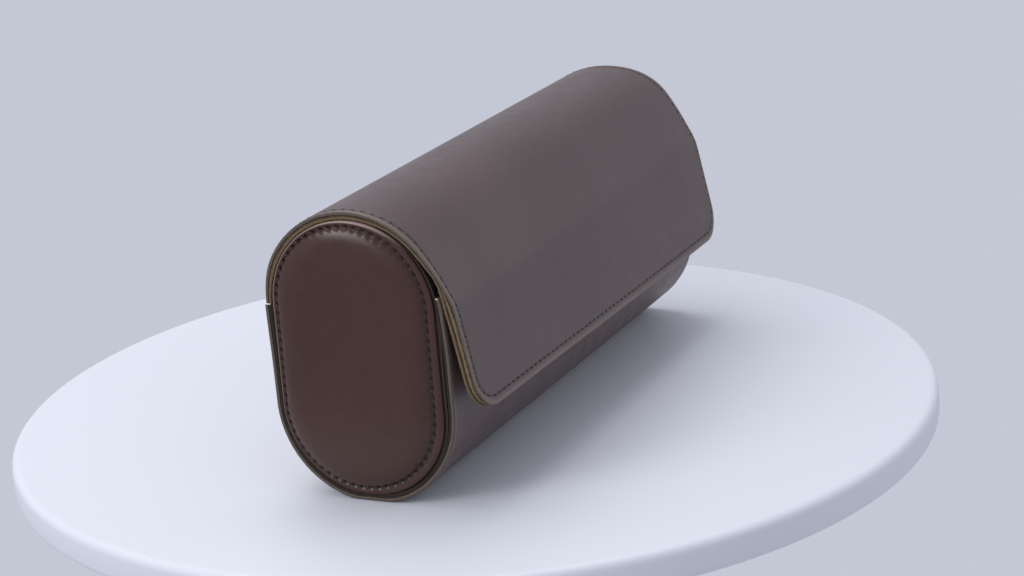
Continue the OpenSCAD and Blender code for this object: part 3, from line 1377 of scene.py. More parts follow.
@dataclass
class Flap:
    """The flap: leather outside, suede inside and a board in its front panel."""

    finishes: Finishes
    # The course: a round over the drum, a shoulder, the fold and the panel.
    shift: Point2 = (-0.45 * MM, 0.15 * MM)
    radius: float = 32.75 * MM
    leave_angle: float = 140.0
    shoulder: float = 8.98 * MM
    fold: float = 26.0 * MM
    flare: float = 11.0
    panel: float = 33.7 * MM
    slant: float = 1.3 * MM
    slant_side: Point2 = (-110 * MM, 70 * MM)
    wedge: Point2 = (84.0 * MM, 100.0 * MM)
    corner_radius: float = 11.0 * MM
    # The layers, thinned towards the seam.
    leather: float = 1.3 * MM
    suede: float = 1.3 * MM
    board: float = 1.6 * MM
    seam_lift: float = 0.2 * MM
    seam_skive: float = 0.75 * MM
    skive_run: float = 16.0 * MM
    leather_skive: float = 0.75
    suede_skive: float = 0.7
    suede_follow: float = 0.5
    # How the leather has settled.
    bulge: float = 1.7 * MM
    bulge_run: float = 72.0 * MM
    bulge_width: float = 14 * MM
    bulge_side: Point2 = (-30 * MM, 100 * MM)
    dip: float = 0.7 * MM
    dip_run: float = 92.5 * MM
    dip_width: float = 6 * MM
    # The leather's mesh and its cut edge.
    column_step: float = 1.7 * MM
    row_step: float = 0.95 * MM
    near_edge: tuple[float, ...] = (0.6, 0.9, 1.2, 1.5, 1.8, 2.2, 2.5, 2.8, 3.1, 3.5, 3.9)
    edge_corner: float = 0.42 * MM
    edge_fall: float = 0.1 * MM
    edge_run: float = 1.2 * MM
    # The suede, tucked in along its sides over the fold.
    suede_half: float = SIZES.half_length - 0.1 * MM
    suede_gap: float = 0.03 * MM
    suede_column: float = 2.4 * MM
    suede_row: float = 1.2 * MM
    suede_rim: float = 0.7 * MM
    suede_corner: float = 0.24 * MM
    tuck: float = 0.5 * MM
    tuck_in: Point2 = (52 * MM, 66 * MM)
    tuck_out: Point2 = (88 * MM, 100 * MM)
    tuck_edge: Point2 = (0.3 * MM, 4 * MM)
    ragged: float = 0.12 * MM
    ragged_rate: float = 700.0
    # The board.
    board_gap: float = 0.02 * MM
    board_inset: float = 0.12 * MM
    board_play: float = 0.05 * MM
    board_least: float = 0.02
    board_column: float = 4 * MM
    board_row: float = 1.5 * MM
    # The stitch line and the bend at the seam.
    stitch_inset: float = 1.2 * MM
    top_inset: float = 2.6 * MM
    low_inset: float = 2.8 * MM
    narrowing: Point2 = (66 * MM, 96 * MM)
    stitch_pitch: float = 3.4 * MM
    stitch: Stitch = Stitch(2.1 * MM, 0.66 * MM, 0.46 * MM)
    stitch_sink: float = 0.02 * MM
    press: Press = Press(
        line=0.08 * MM, hole=0.3 * MM, width=0.5 * MM, sharpness=2,
        lift=0.07 * MM, pull=0.07 * MM, lift_gap=1.0 * MM, lift_width=0.8 * MM,
        stain_width=0.42 * MM, stain_line=0.4, stain_sharpness=2)
    bend_way: float = 50.0
    bend_length: float = 7.2 * MM

    def build(self) -> None:
        """Builds the flap's pieces."""
        self.skin()
        self.lining()
        self.stiffener()
        self.stitches()

    @property
    def centre(self) -> Point2:
        """Centre of the flap's round."""
        return (self.shift[0], SIZES.high_centre + self.shift[1])

    def profile(self, depth: float) -> Profile:
        """Profile of a layer from the seam over the top to the panel's end.

        Args:
            depth: The layer's depth below the flap's outer surface.

        Returns:
            The profile.
        """
        radius = self.radius - depth
        seam = SIZES.seam_height + self.seam_lift
        start_angle = arc(seam - self.centre[1], radius)
        reach = math.cos(math.radians(start_angle)) * radius
        start = (self.centre[0] + reach, seam)
        return Profile(start, 90 + start_angle, (
            Bend(radius, self.leave_angle - start_angle), Straight(self.shoulder),
            Bend(self.fold - depth, 180 - self.flare - self.leave_angle),
            Straight(self.panel)))

    def room(self, run: Array) -> Array:
        """Gap between the leather and the lining, which the board fills."""
        return self.board * ramp(run, *self.wedge)

    def sway(self, x: Array, run: Array, share: float = 1.0) -> Array:
        """How far the leather lies off its even form.

        The leather is skived towards the seam and drawn in over the fold, and at
        the right end it bulges over the shoulder.

        Args:
            x: Places along the case.
            run: Distances from the seam.
            share: The part of the skiving that moves this layer.

        Returns:
            The outward distances.
        """
        skive = -self.seam_skive * share * (1 - ramp(run, 0, self.skive_run))
        bulge = gauss(run, self.bulge_run, self.bulge_width) * ramp(x, *self.bulge_side)
        dip = gauss(run, self.dip_run, self.dip_width)
        return skive + self.bulge * bulge - self.dip * dip

    def drop(self, x: Array, run: Array) -> Array:
        """How much lower the panel hangs, more and more towards the right end."""
        share = np.clip((run - self.wedge[1]) / self.panel, 0, 1)
        return self.slant * ramp(x, *self.slant_side) * share

    def skived(self, obj: Piece, run: Array, least: float) -> str:
        """Weights a sheet's thickness down towards the seam.

        Args:
            obj: The sheet.
            run: Each vertex's distance from the seam.
            least: Its share of the thickness at the seam.

        Returns:
            The name of the vertex group.
        """
        group = obj.vertex_groups.new(name="skive")
        weights = least + (1 - least) * ramp(run, 0, self.skive_run)
        for index, weight in enumerate(weights):
            group.add([index], float(weight), "REPLACE")
        return group.name

    def outline(self, u: Array, left: Array, radius: float,
                half: float) -> tuple[Array, Array, Array]:
        """Rounds the panel's lower corners and measures from its edge.

        Args:
            u: Distance of each vertex from the flap's middle, along X.
            left: Distance of each vertex from the lower edge, along the run.
            radius: Radius of the corners.
            half: Half width of the sheet.

        Returns:
            The new distances from the middle and from the lower edge, and the
            distance from the rounded outline.
        """
        a = np.clip((u - (half - radius)) / radius, 0, 1)
        b = np.clip((radius - left) / radius, 0, 1)
        corner = (a > 0) & (b > 0)
        reach = np.maximum(a, b)
        round_in = radius * reach / np.maximum(np.hypot(a, b), 1e-9)
        new_u = np.where(corner, half - radius + a * round_in, u)
        new_left = np.where(corner, radius - b * round_in, left)
        edge = np.where(corner, radius * (1 - reach), np.minimum(half - u, left))
        return new_u, new_left, edge

    @property
    def corner_line(self) -> tuple[float, float, float]:
        """Half axes of the stitch line's round at a corner, and their mean."""
        wide = self.corner_radius - self.stitch_inset
        high = self.corner_radius - self.low_inset
        return wide, high, (wide + high) / 2

    def track(self, u: Array, left: Array,
              length: float) -> tuple[Array, Array]:
        """Follows the stitch line from the seam, round the corner.

        Args:
            u: Distance from the flap's middle.
            left: Distance from the lower edge.
            length: Length of the profile.

        Returns:
            The distances along the line, the same on both sides, and the line's
            distances from the flap's edge.
        """
        radius, half = self.corner_radius, SIZES.half_length
        wide, high, line = self.corner_line
        over = np.maximum(u - (half - radius), 1e-9)
        angle = np.arctan2((radius - left) / high, over / wide)
        round_part = length - radius + line * angle
        bottom = length - radius + line * math.pi / 2 + (half - radius - u)
        low = left < radius
        corner = low & (u > half - radius)
        along = np.where(corner, round_part, np.where(low, bottom, length - left))
        reach = np.hypot(wide * np.cos(angle), high * np.sin(angle))
        side = np.where(low, self.low_inset, self.inset_at(length - left))
        return along, np.where(corner, radius - reach, side)

    def inset_at(self, run: Array) -> Array:
        """Distance of the stitch line from the side edge, narrower below the fold."""
        share = ramp(run, *self.narrowing)
        return self.top_inset + (self.stitch_inset - self.top_inset) * share

    def pitch(self, length: float) -> float:
        """Stitch pitch that divides the whole line evenly.

        Args:
            length: Length of the profile.

        Returns:
            The pitch.
        """
        total = (length + SIZES.half_length - 2 * self.corner_radius
                 + self.corner_line[2] * math.pi / 2)
        return total / round(total / self.stitch_pitch)

    def skin(self) -> None:
        """The outer leather with its stitch line pressed in."""
        profile = self.profile(0)
        near = [inset * MM for inset in self.near_edge]
        sheet = Sheet("flap_skin", profile, SIZES.half_length, self.column_step,
                      self.row_step, near, near)
        obj, flat_x, flat_run = sheet.draw_located()
        u, left, edge = self.outline(np.abs(flat_x), profile.length - flat_run,
                                     self.corner_radius, SIZES.half_length)
        along, inset = self.track(u, left, profile.length)
        phase = along / self.pitch(profile.length)
        run = profile.length - left
        height = self.press.height(edge - inset, phase)
        height -= self.edge_fall * (1 - ramp(edge, 0, self.edge_run))
        x = np.sign(flat_x) * u
        sheet.wrap(obj, x, run + self.drop(x, run), height + self.sway(x, run))
        store(obj, "edge", edge)
        # Painted shade in the stitch groove, darkest at the holes.
        store(obj, "hole", self.press.stain(edge - inset, phase))
        outward_faces(obj)
        f = self.finishes
        dress(obj, f.outer, f.olive, f.edge)
        skive = self.skived(obj, run, self.leather_skive)
        thicken(obj, self.leather, self.edge_corner, skive)
        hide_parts("flap_leather")
        self.bend(obj)

    def lining(self) -> None:
        """The suede lining with its rough cut edge."""
        profile = self.profile(self.leather + self.suede_gap)
        sheet = Sheet("flap_suede", profile, self.suede_half, self.suede_column,
                      self.suede_row, [self.suede_rim], [self.suede_rim])
        obj, flat_x, flat_run = sheet.draw_located()
        u, left, edge = self.outline(np.abs(flat_x), profile.length - flat_run,
                                     self.corner_radius, self.suede_half)
        rough = np.array([noise.noise(Vector(co) * self.ragged_rate)
                          for co in places(obj)])
        run = profile.length - left
        tucked = self.tuck * ramp(run, *self.tuck_in) * (1 - ramp(run, *self.tuck_out))
        drawn = tucked * (1 - ramp(edge, *self.tuck_edge))
        torn = np.where(edge < self.tuck_edge[0], self.ragged * rough, 0)
        x = np.sign(flat_x) * (u - drawn + torn)
        sheet.wrap(obj, x, run + self.drop(x, run),
                   self.sway(x, run, self.suede_follow) - self.room(run))
        outward_faces(obj)
        f = self.finishes
        dress(obj, f.olive, f.olive, f.suede_edge)
        skive = self.skived(obj, run, self.suede_skive)
        thicken(obj, self.suede, self.suede_corner, skive, 2)
        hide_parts("flap_lining")
        self.bend(obj)

    def stiffener(self) -> None:
        """The board, a wedge over the shoulder and full in the front panel."""
        inner = self.profile(self.leather + self.board_gap)
        first = inner.laid[1]
        kinds = [piece.kind for piece in inner.laid[1:-1]]
        profile = Profile(tuple(first.start), math.degrees(first.heading),
                          [*kinds, Straight(self.panel - self.board_inset)])
        half = SIZES.half_length - self.board_inset
        sheet = Sheet("flap_stiffener", profile, half, self.board_column, self.board_row)
        obj, flat_x, flat_run = sheet.draw_located()
        u, left, _ = self.outline(np.abs(flat_x), profile.length - flat_run,
                                  self.corner_radius - self.board_inset, half)
        down = profile.length - left
        whole = down + first.offset
        x = np.sign(flat_x) * u
        sheet.wrap(obj, x, down + self.drop(x, whole), self.sway(x, whole))
        scale = obj.vertex_groups.new(name="skive")
        for index, gap in enumerate(self.room(whole)):
            share = max((gap - self.board_play) / self.board, self.board_least)
            scale.add([index], float(share), "REPLACE")
        outward_faces(obj)
        f = self.finishes
        dress(obj, f.board, f.board, f.board_edge)
        thicken(obj, self.board, 0, "skive")
        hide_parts("flap_board")
        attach(obj, Body.FLAP.value)

    def walk(self, length: float) -> Iterator[tuple[float, float, Point2]]:
        """Follows the stitch line of one side from the seam to the middle.

        Args:
            length: Length of the profile.

        Yields:
            Each stitch's distance from the flap's middle, its distance from the
            seam and its direction as shares of X and of the run.
        """
        radius, half = self.corner_radius, SIZES.half_length
        wide, high, line = self.corner_line
        pitch = self.pitch(length)
        side_end = length - radius
        round_end = side_end + line * math.pi / 2
        for i in range(round((round_end + half - radius) / pitch)):
            at = (i + 0.5) * pitch
            if at < side_end:
                yield half - float(self.inset_at(np.array(at))), at, (0.0, 1.0)
            elif at < round_end:
                turn = (at - side_end) / line
                u = half - radius + wide * math.cos(turn)
                way = (-wide * math.sin(turn), high * math.cos(turn))
                yield u, side_end + high * math.sin(turn), way
            else:
                yield half - radius - (at - round_end), side_end + high, (1.0, 0.0)

    def stitches(self) -> None:
        """The stitches down both sides and along the lower edge, both faces."""
        face, back = self.profile(0), self.profile(self.leather)
        face_sheet = Sheet("face_track", face, SIZES.half_length, 1, 1)
        back_sheet = Sheet("back_track", back, SIZES.half_length, 1, 1)
        outer: list[Matrix] = []
        inner: list[Matrix] = []
        for u, run, way in self.walk(face.length):
            for side in (-1, 1):
                turned = (way[0] * side, way[1])
                spot = (np.array([side * u]), np.array([run]))
                lower = self.drop(*spot)[0]
                rise = self.sway(*spot)[0] - self.stitch_sink
                outer.append(face_sheet.frame_at(side * u, run + lower, rise, turned))
                run_in = run / face.length * back.length + lower
                rise = self.sway(*spot, 0.0)[0] + self.stitch_sink - self.suede
                rise -= self.room(spot[1])[0]
                frame = back_sheet.frame_at(side * u, run_in, rise, turned)
                inner.append(frame @ Matrix.Rotation(math.pi, 4, "X"))
        for name, rows in (("flap_stitches", outer), ("flap_inner_stitches", inner)):
            row = sew(name, self.stitch, rows, self.finishes.thread)
            self.bend(row)

    def bend(self, obj: Piece) -> None:
        """Applies a piece's place to its mesh, leaving it on no body.

        Args:
            obj: The piece.
        """
        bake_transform(obj)


# ---- Padded ends ----------------------------------------------------------


@dataclass(frozen=True)
class Oval:
    """A tapered oval in the YZ plane: two rounds joined by straight sides."""

    low: Point2
    low_radius: float
    high: Point2
    high_radius: float

    @property
    def length(self) -> float:
        """Length round the oval."""
        return math.pi * (self.low_radius + self.high_radius) + 2 * self.wall

    @property
    def wall(self) -> float:
        """Height of the straight sides."""
        return self.high[1] - self.low[1]

    def centre(self, t: Array) -> Array:
        """Middles of the oval at shares of the way up its sides."""
        low, high = np.array(self.low), np.array(self.high)
        return low + np.outer(t, high - low)

    def radius(self, t: Array) -> Array:
        """Half widths of the oval at shares of the way up its sides."""
        return self.low_radius + (self.high_radius - self.low_radius) * t

    def measure(self, flat: Array) -> tuple[Array, Array, Array]:
        """Measures places against the oval.

        Args:
            flat: Y and Z of the places, one row each.

        Returns:
            The distances inside the oval, the shares of the way up its sides and
            the directions from its middle.
        """
        t = np.clip((flat[:, 1] - self.low[1]) / self.wall, 0, 1)
        rel = flat - self.centre(t)
        gap = np.linalg.norm(rel, axis=1)
        return self.radius(t) - gap, t, rel / np.maximum(gap, 1e-9)[:, None]

    def run(self, flat: Array) -> Array:
        """Distances along the oval, anticlockwise from its front at the low round.

        Args:
            flat: Y and Z of the places, one row each.

        Returns:
            The distances.
        """
        _, t, way = self.measure(flat)
        turn = np.arctan2(way[:, 1], way[:, 0])
        low_end = math.pi * self.low_radius
        high_end = low_end + self.wall + math.pi * self.high_radius
        side = np.where(way[:, 0] > 0, low_end + t * self.wall,
                        high_end + (1 - t) * self.wall)
        return np.where(t <= 0, self.low_radius * (turn + math.pi),
                        np.where(t >= 1, low_end + self.wall + self.high_radius * turn, side))

    def at(self, run: float) -> tuple[Point2, float]:
        """Place and direction from the middle at a distance along the oval.

        Args:
            run: Distance along the oval, from its front at the low round.

        Returns:
            Y and Z of the place, and the angle from +Y towards +Z.
        """
        low_end = math.pi * self.low_radius
        high_end = low_end + self.wall + math.pi * self.high_radius
        if run < low_end:
            t, turn = 0.0, run / self.low_radius - math.pi
        elif run < low_end + self.wall:
            t, turn = (run - low_end) / self.wall, 0.0
        elif run < high_end:
            t, turn = 1.0, (run - low_end - self.wall) / self.high_radius
        else:
            t, turn = 1 - (run - high_end) / self.wall, math.pi
        share = np.array([t])
        spot = self.centre(share)[0] + self.radius(share)[0] * np.array(
            [math.cos(turn), math.sin(turn)])
        return (float(spot[0]), float(spot[1])), turn


@dataclass
class EndPanel:
    """A padded leather end, stitched round its edge."""

    finishes: Finishes
    end: End
    outline: Oval = Oval((0.6 * MM, 30.8 * MM), 29.2 * MM,
                         (0.4 * MM, 64.7 * MM), 29.0 * MM)
    seam: Oval = Oval((1.7 * MM, 31.0 * MM), 26.8 * MM,
                      (1.1 * MM, 65.1 * MM), 26.75 * MM)
    round_points: int = 288
    wall_points: int = 48
    seam_inset: float = 2.0 * MM
    rings: tuple[float, ...] = (0.1, 0.2, 0.3, 0.35, 0.25, 0.2, 0.2, 0.2, 0.2, 0.2, 0.2,
                                0.25, 0.3, 0.4, 0.5, 0.6, 0.8, 1.1, 1.5, 1.9, 2.4, 3.0,
                                3.4)
    stitch_pitch: float = 3.1 * MM
    stitch: Stitch = Stitch(2.1 * MM, 0.66 * MM, 0.6 * MM, 0.42 * MM)
    stitch_sink: float = 0.02 * MM
    press: Press = Press(
        line=0.14 * MM, hole=0.46 * MM, width=0.42 * MM, sharpness=1.5,
        lift=0.22 * MM, pull=0.5 * MM, lift_gap=0.75 * MM, lift_width=0.5 * MM,
        stain_width=0.4 * MM, stain_line=0.35, stain_sharpness=1)
    dome: float = 1.8 * MM
    dome_run: float = 11.5 * MM
    dome_power: float = 3.2
    puff: float = 0.55 * MM
    puff_start: float = 0.45 * MM
    puff_run: float = 0.8 * MM
    rim_round: float = 0.85 * MM
    rim_depth: float = 0.2 * MM
    back_gap: float = 0.03 * MM
    # Painted shade: the rim's light margin is pushed this far inwards on the side turned from
    # the lamps; the way and span pick out the lit top and back.
    shade: float = 1.1 * MM
    shade_way: Point2 = (0.75, 0.66)
    shade_span: Point2 = (-0.45, 0.6)

    def build(self) -> None:
        """Builds the padded panel and its stitches."""
        self.pad()
        self.stitches()

    @property
    def pitch(self) -> float:
        """Stitch pitch that divides the seam evenly."""
        return self.seam.length / round(self.seam.length / self.stitch_pitch)

    def height(self, depth: Array, way: Array) -> Array:
        """Rise of the padded face over its flat margin.

        Args:
            depth: Distances inside the outline, the seam being at its inset.
            way: Distances along the seam.

        Returns:
            The heights.
        """
        t = np.clip((depth - self.seam_inset) / self.dome_run, 0, 1)
        pad = self.dome * (1 - (1 - t) ** self.dome_power)
        inside = np.maximum(depth - self.seam_inset - self.puff_start, 0)
        pad += self.puff * (1 - np.exp(-inside / self.puff_run))
        line = self.press.height(depth - self.seam_inset, way / self.pitch)
        t = np.clip(depth / self.rim_round, 0, 1)
        rim = -self.rim_round * (1 - np.sqrt(1 - (1 - t) ** 2))
        return pad + line + rim

    def blank(self) -> Piece:
        """The flat panel with its rings, before it is padded.

        Returns:
            The panel, one flat face deep.
        """
        deselect()
        (ly, lz), (hy, hz) = self.outline.low, self.outline.high
        bpy.ops.mesh.primitive_circle_add(
            vertices=self.round_points, radius=self.outline.low_radius, fill_type="NGON",
            location=(0, ly, lz), rotation=(0, math.pi / 2, 0))
        obj = name_new(f"end_pad_cover_{self.end.word}")
        settle(obj)
        share = self.outline.high_radius / self.outline.low_radius
        with editing(obj):
            select_where(obj, lambda co: co.z > lz - 1e-6)
            bpy.ops.transform.resize(value=(1, share, share), center_override=(0, ly, lz))
            bpy.ops.transform.translate(value=(0, hy - ly, hz - lz))
            bpy.ops.mesh.select_all(action="DESELECT")
            bpy.ops.mesh.select_mode(type="EDGE")
            mesh = bmesh.from_edit_mesh(obj.data)
            for edge in mesh.edges:
                edge.select_set(edge.calc_length() > self.outline.wall / 2)
            bmesh.update_edit_mesh(obj.data)
            bpy.ops.mesh.subdivide(number_cuts=self.wall_points - 1)
            bpy.ops.mesh.select_mode(type="FACE")
            bpy.ops.mesh.select_all(action="SELECT")
            for ring in self.rings:
                bpy.ops.mesh.inset(thickness=ring * MM, depth=0)
        return obj

    def pad(self) -> None:
        """Raises the dome, presses the stitch line and closes the back."""
        obj = self.blank()
        table = places(obj)
        side = self.end.value
        depth, t, way = self.outline.measure(table[:, 1:])
        share = np.clip(depth / self.seam_inset, 0, 1)
        centre = (1 - share)[:, None] * self.outline.centre(t) + (
            share[:, None] * self.seam.centre(t))
        radius = (1 - share) * self.outline.radius(t) + share * self.seam.radius(t)
        radius -= np.maximum(depth - self.seam_inset, 0)
        flat = centre + way * radius[:, None]
        run = self.seam.run(flat)
        rise = self.height(depth, run)
        put_places(obj, np.column_stack([side * (SIZES.rim_x + rise), flat]))
        # Painted highlight and shade: the edge attribute keeps the rim's light margin at the
        # top and back, which face the lamps, and fades it at the front.
        lit = ramp(way @ np.array(self.shade_way), *self.shade_span)
        store(obj, "edge", depth + self.shade * (1 - lit))
        off = depth - self.seam_inset
        # Painted shade in the stitch groove, darkest at the holes.
        store(obj, "hole", self.press.stain(off, run / self.pitch))
        with editing(obj):
            bpy.ops.mesh.select_all(action="DESELECT")
            bpy.ops.mesh.select_mode(type="EDGE")
            bpy.ops.mesh.select_non_manifold()
            bpy.ops.mesh.extrude_region_move(
                TRANSFORM_OT_translate={"value": (-side * self.rim_depth, 0, 0)})
            bpy.ops.transform.resize(
                value=(0, 1, 1),
                center_override=(side * (SIZES.board_x + self.back_gap), 0, 0))
            bpy.ops.mesh.edge_face_add()
        face_outwards(obj)
        smooth(obj, 50)
        dress(obj, self.finishes.ends)
        word = self.end.word
        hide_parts(f"end_panel_{word}", f"end_pad_{word}")
        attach(obj, Body.CASE.value)

    def stitches(self) -> None:
        """The stitches round the panel."""
        side = self.end.value
        out = Vector((side, 0, 0))
        frames = []
        for i in range(round(self.seam.length / self.pitch)):
            spot, turn = self.seam.at((i + 0.5) * self.pitch)
            heading = Vector((0, -math.sin(turn), math.cos(turn)))
            place = Vector((side * (SIZES.rim_x - self.stitch_sink), *spot))
            frames.append(lay(place, heading, out))
        row = sew(f"end_stitches_{self.end.word}", self.stitch, frames,
                  self.finishes.end_thread)
        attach(row, Body.CASE.value)


# ---- Drum linings and dividers -------------------------------------------


@dataclass
class Drum:
    """Linings of the drum, its ends and its dividers."""

    finishes: Finishes
    corner: float = 0.3 * MM
    slab_row: float = 1.5 * MM
    tray_column: float = 8 * MM
    tray_row: float = 1.6 * MM
    tray_corner: float = 0.12 * MM
    lip_ease: float = 0.6 * MM
    lip_inset: float = 0.15 * MM
    end_radius: float = 27.3 * MM
    end_top_radius: float = 29.1 * MM
    end_floor: float = 4.4 * MM
    end_gap: float = 0.02 * MM
    divider_half: float = 1.9 * MM
    divider_top: float = 72.0 * MM
    divider_corner: float = 8.0 * MM
    divider_floor: float = 5.2 * MM
    divider_gap: float = 0.05 * MM
    divider_puff: float = 0.15 * MM
    puff_insets: Point2 = (0.8 * MM, 2.2 * MM)

    def build(self) -> None:
        """Builds the linings and the covered dividers."""
        self.tray_lining()
        for end in End:
            self.end_lining(end)
            self.divider(end)

    def tray_lining(self) -> None:
        """The suede in the drum, turned over the shell's long edges."""
        radius, top = SIZES.room_radius, SIZES.shell_top + SIZES.lining
        rise = top - SIZES.high_centre
        lean = arc(rise, radius)
        outer = math.sqrt(SIZES.drum_radius**2 - rise**2) - self.lip_inset
        inner = radius * math.cos(math.radians(lean))
        wall = Straight(SIZES.high_centre - SIZES.low_centre)
        ease, turn = self.lip_ease, 90 + lean
        lost = ease * math.tan(math.radians(turn / 2))
        lip = outer - inner - lost
        fall = math.radians(lean) * radius - lost
        steps: list[Stretch] = [Straight(lip), Bend(ease, -turn),
                                Bend(radius, math.degrees(fall / radius)), wall]
        profile = Profile((-outer, top), 0, [*steps, Bend(radius, 180), *steps[::-1]])
        sheet = Sheet("tray_suede", profile, SIZES.room_x, self.tray_column, self.tray_row)
        obj = sheet.draw()
        outward_faces(obj)
        with editing(obj):
            bpy.ops.mesh.select_all(action="SELECT")
            bpy.ops.mesh.flip_normals()
        dress(obj, *[self.finishes.tan] * 3)
        thicken(obj, SIZES.lining, self.tray_corner, segments=2)
        self.lined(obj, "tray_lining")

    def lined(self, obj: Piece, *nodes: str) -> None:
        """Dresses a lining in tan microsuede and puts it on the case.

        Args:
            obj: The lining.
            *nodes: The CAD nodes that it replaces.
        """
        if not obj.data.materials:
            dress(obj, self.finishes.tan)
        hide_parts(*nodes)
        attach(obj, Body.CASE.value)

    def slab(self, name: str, profile: Profile, near: float, far: float,
             puff: float) -> Piece:
        """A covered board of the profile's outline between two stations.

        Args:
            name: The piece's name.
            profile: Its closed outline.
            near: X of one side.
            far: X of the other side.
            puff: Rise of the padding on each side.

        Returns:
            The closed piece.
        """
        sheet = Sheet(name, profile, (far - near) / 2, far - near, self.slab_row)
        obj = sheet.draw()
        with editing(obj):
            bpy.ops.mesh.select_all(action="SELECT")
            bpy.ops.mesh.remove_doubles(threshold=2e-5)
            bpy.ops.transform.translate(value=((near + far) / 2, 0, 0))
        for x, way in ((near, -1), (far, 1)):
            with editing(obj):
                select_where(obj, lambda co: abs(co.x - x) < 1e-5)
                bpy.ops.mesh.edge_face_add()
                if not puff:
                    continue
                bpy.ops.mesh.select_mode(type="FACE")
                for inset in self.puff_insets:
                    bpy.ops.mesh.inset(thickness=inset, depth=0)
                bpy.ops.transform.translate(value=(way * puff, 0, 0))
        face_outwards(obj)
        apply(obj, "BEVEL", width=self.corner, segments=3, limit_method="ANGLE",
              angle_limit=math.radians(50))
        smooth(obj, 50)
        return obj

    def end_lining(self, end: End) -> None:
        """The suede on the inner face of an end.

        Args:
            end: Which end.
        """
        low, high = self.end_radius, self.end_top_radius
        floor = arc(SIZES.low_centre - self.end_floor, low)
        top = SIZES.shell_top + SIZES.lining - SIZES.high_centre
        lean, lean_out = arc(top, low), arc(top, high)
        step = high * math.cos(math.radians(lean_out)) - low * math.cos(math.radians(lean))
        half: list[Stretch] = [
            Straight(low * math.cos(math.radians(floor))), Bend(0, 90 - floor),
            Bend(low, floor), Straight(SIZES.high_centre - SIZES.low_centre),
            Bend(low, lean), Bend(0, -90 - lean), Straight(step), Bend(0, 90 + lean_out)]
        profile = Profile((0, self.end_floor), 0,
                          [*half, Bend(high, 180 - 2 * lean_out), *half[::-1]])
        outer = SIZES.lining_x - self.end_gap
        near, far = sorted((end.value * SIZES.room_x, end.value * outer))
        obj = self.slab(f"end_suede_{end.word}", profile, near, far, 0.0)
        self.lined(obj, f"end_lining_{end.word}")

    def divider(self, end: End) -> None:
        """A suede covered divider between two places.

        Args:
            end: The end that the divider is nearer to.
        """
        radius = SIZES.room_radius - self.divider_gap
        corner = self.divider_corner
        lift = self.divider_top - corner - SIZES.high_centre
        floor = arc(SIZES.low_centre - self.divider_floor, radius)
        half: list[Stretch] = [
            Straight(radius * math.cos(math.radians(floor))), Bend(0, 90 - floor),
            Bend(radius, floor),
            Straight(SIZES.high_centre - SIZES.low_centre + lift), Bend(corner, 90)]
        profile = Profile((0, self.divider_floor), 0,
                          [*half, Straight(2 * (radius - corner)), *half[::-1]])
        middle = end.value * SIZES.pitch / 2
        obj = self.slab(f"divider_pad_{end.word}", profile, middle - self.divider_half,
                        middle + self.divider_half, self.divider_puff)
        self.lined(obj, f"divider_cover_{end.word}")


# ---- Watch cushions -------------------------------------------------------


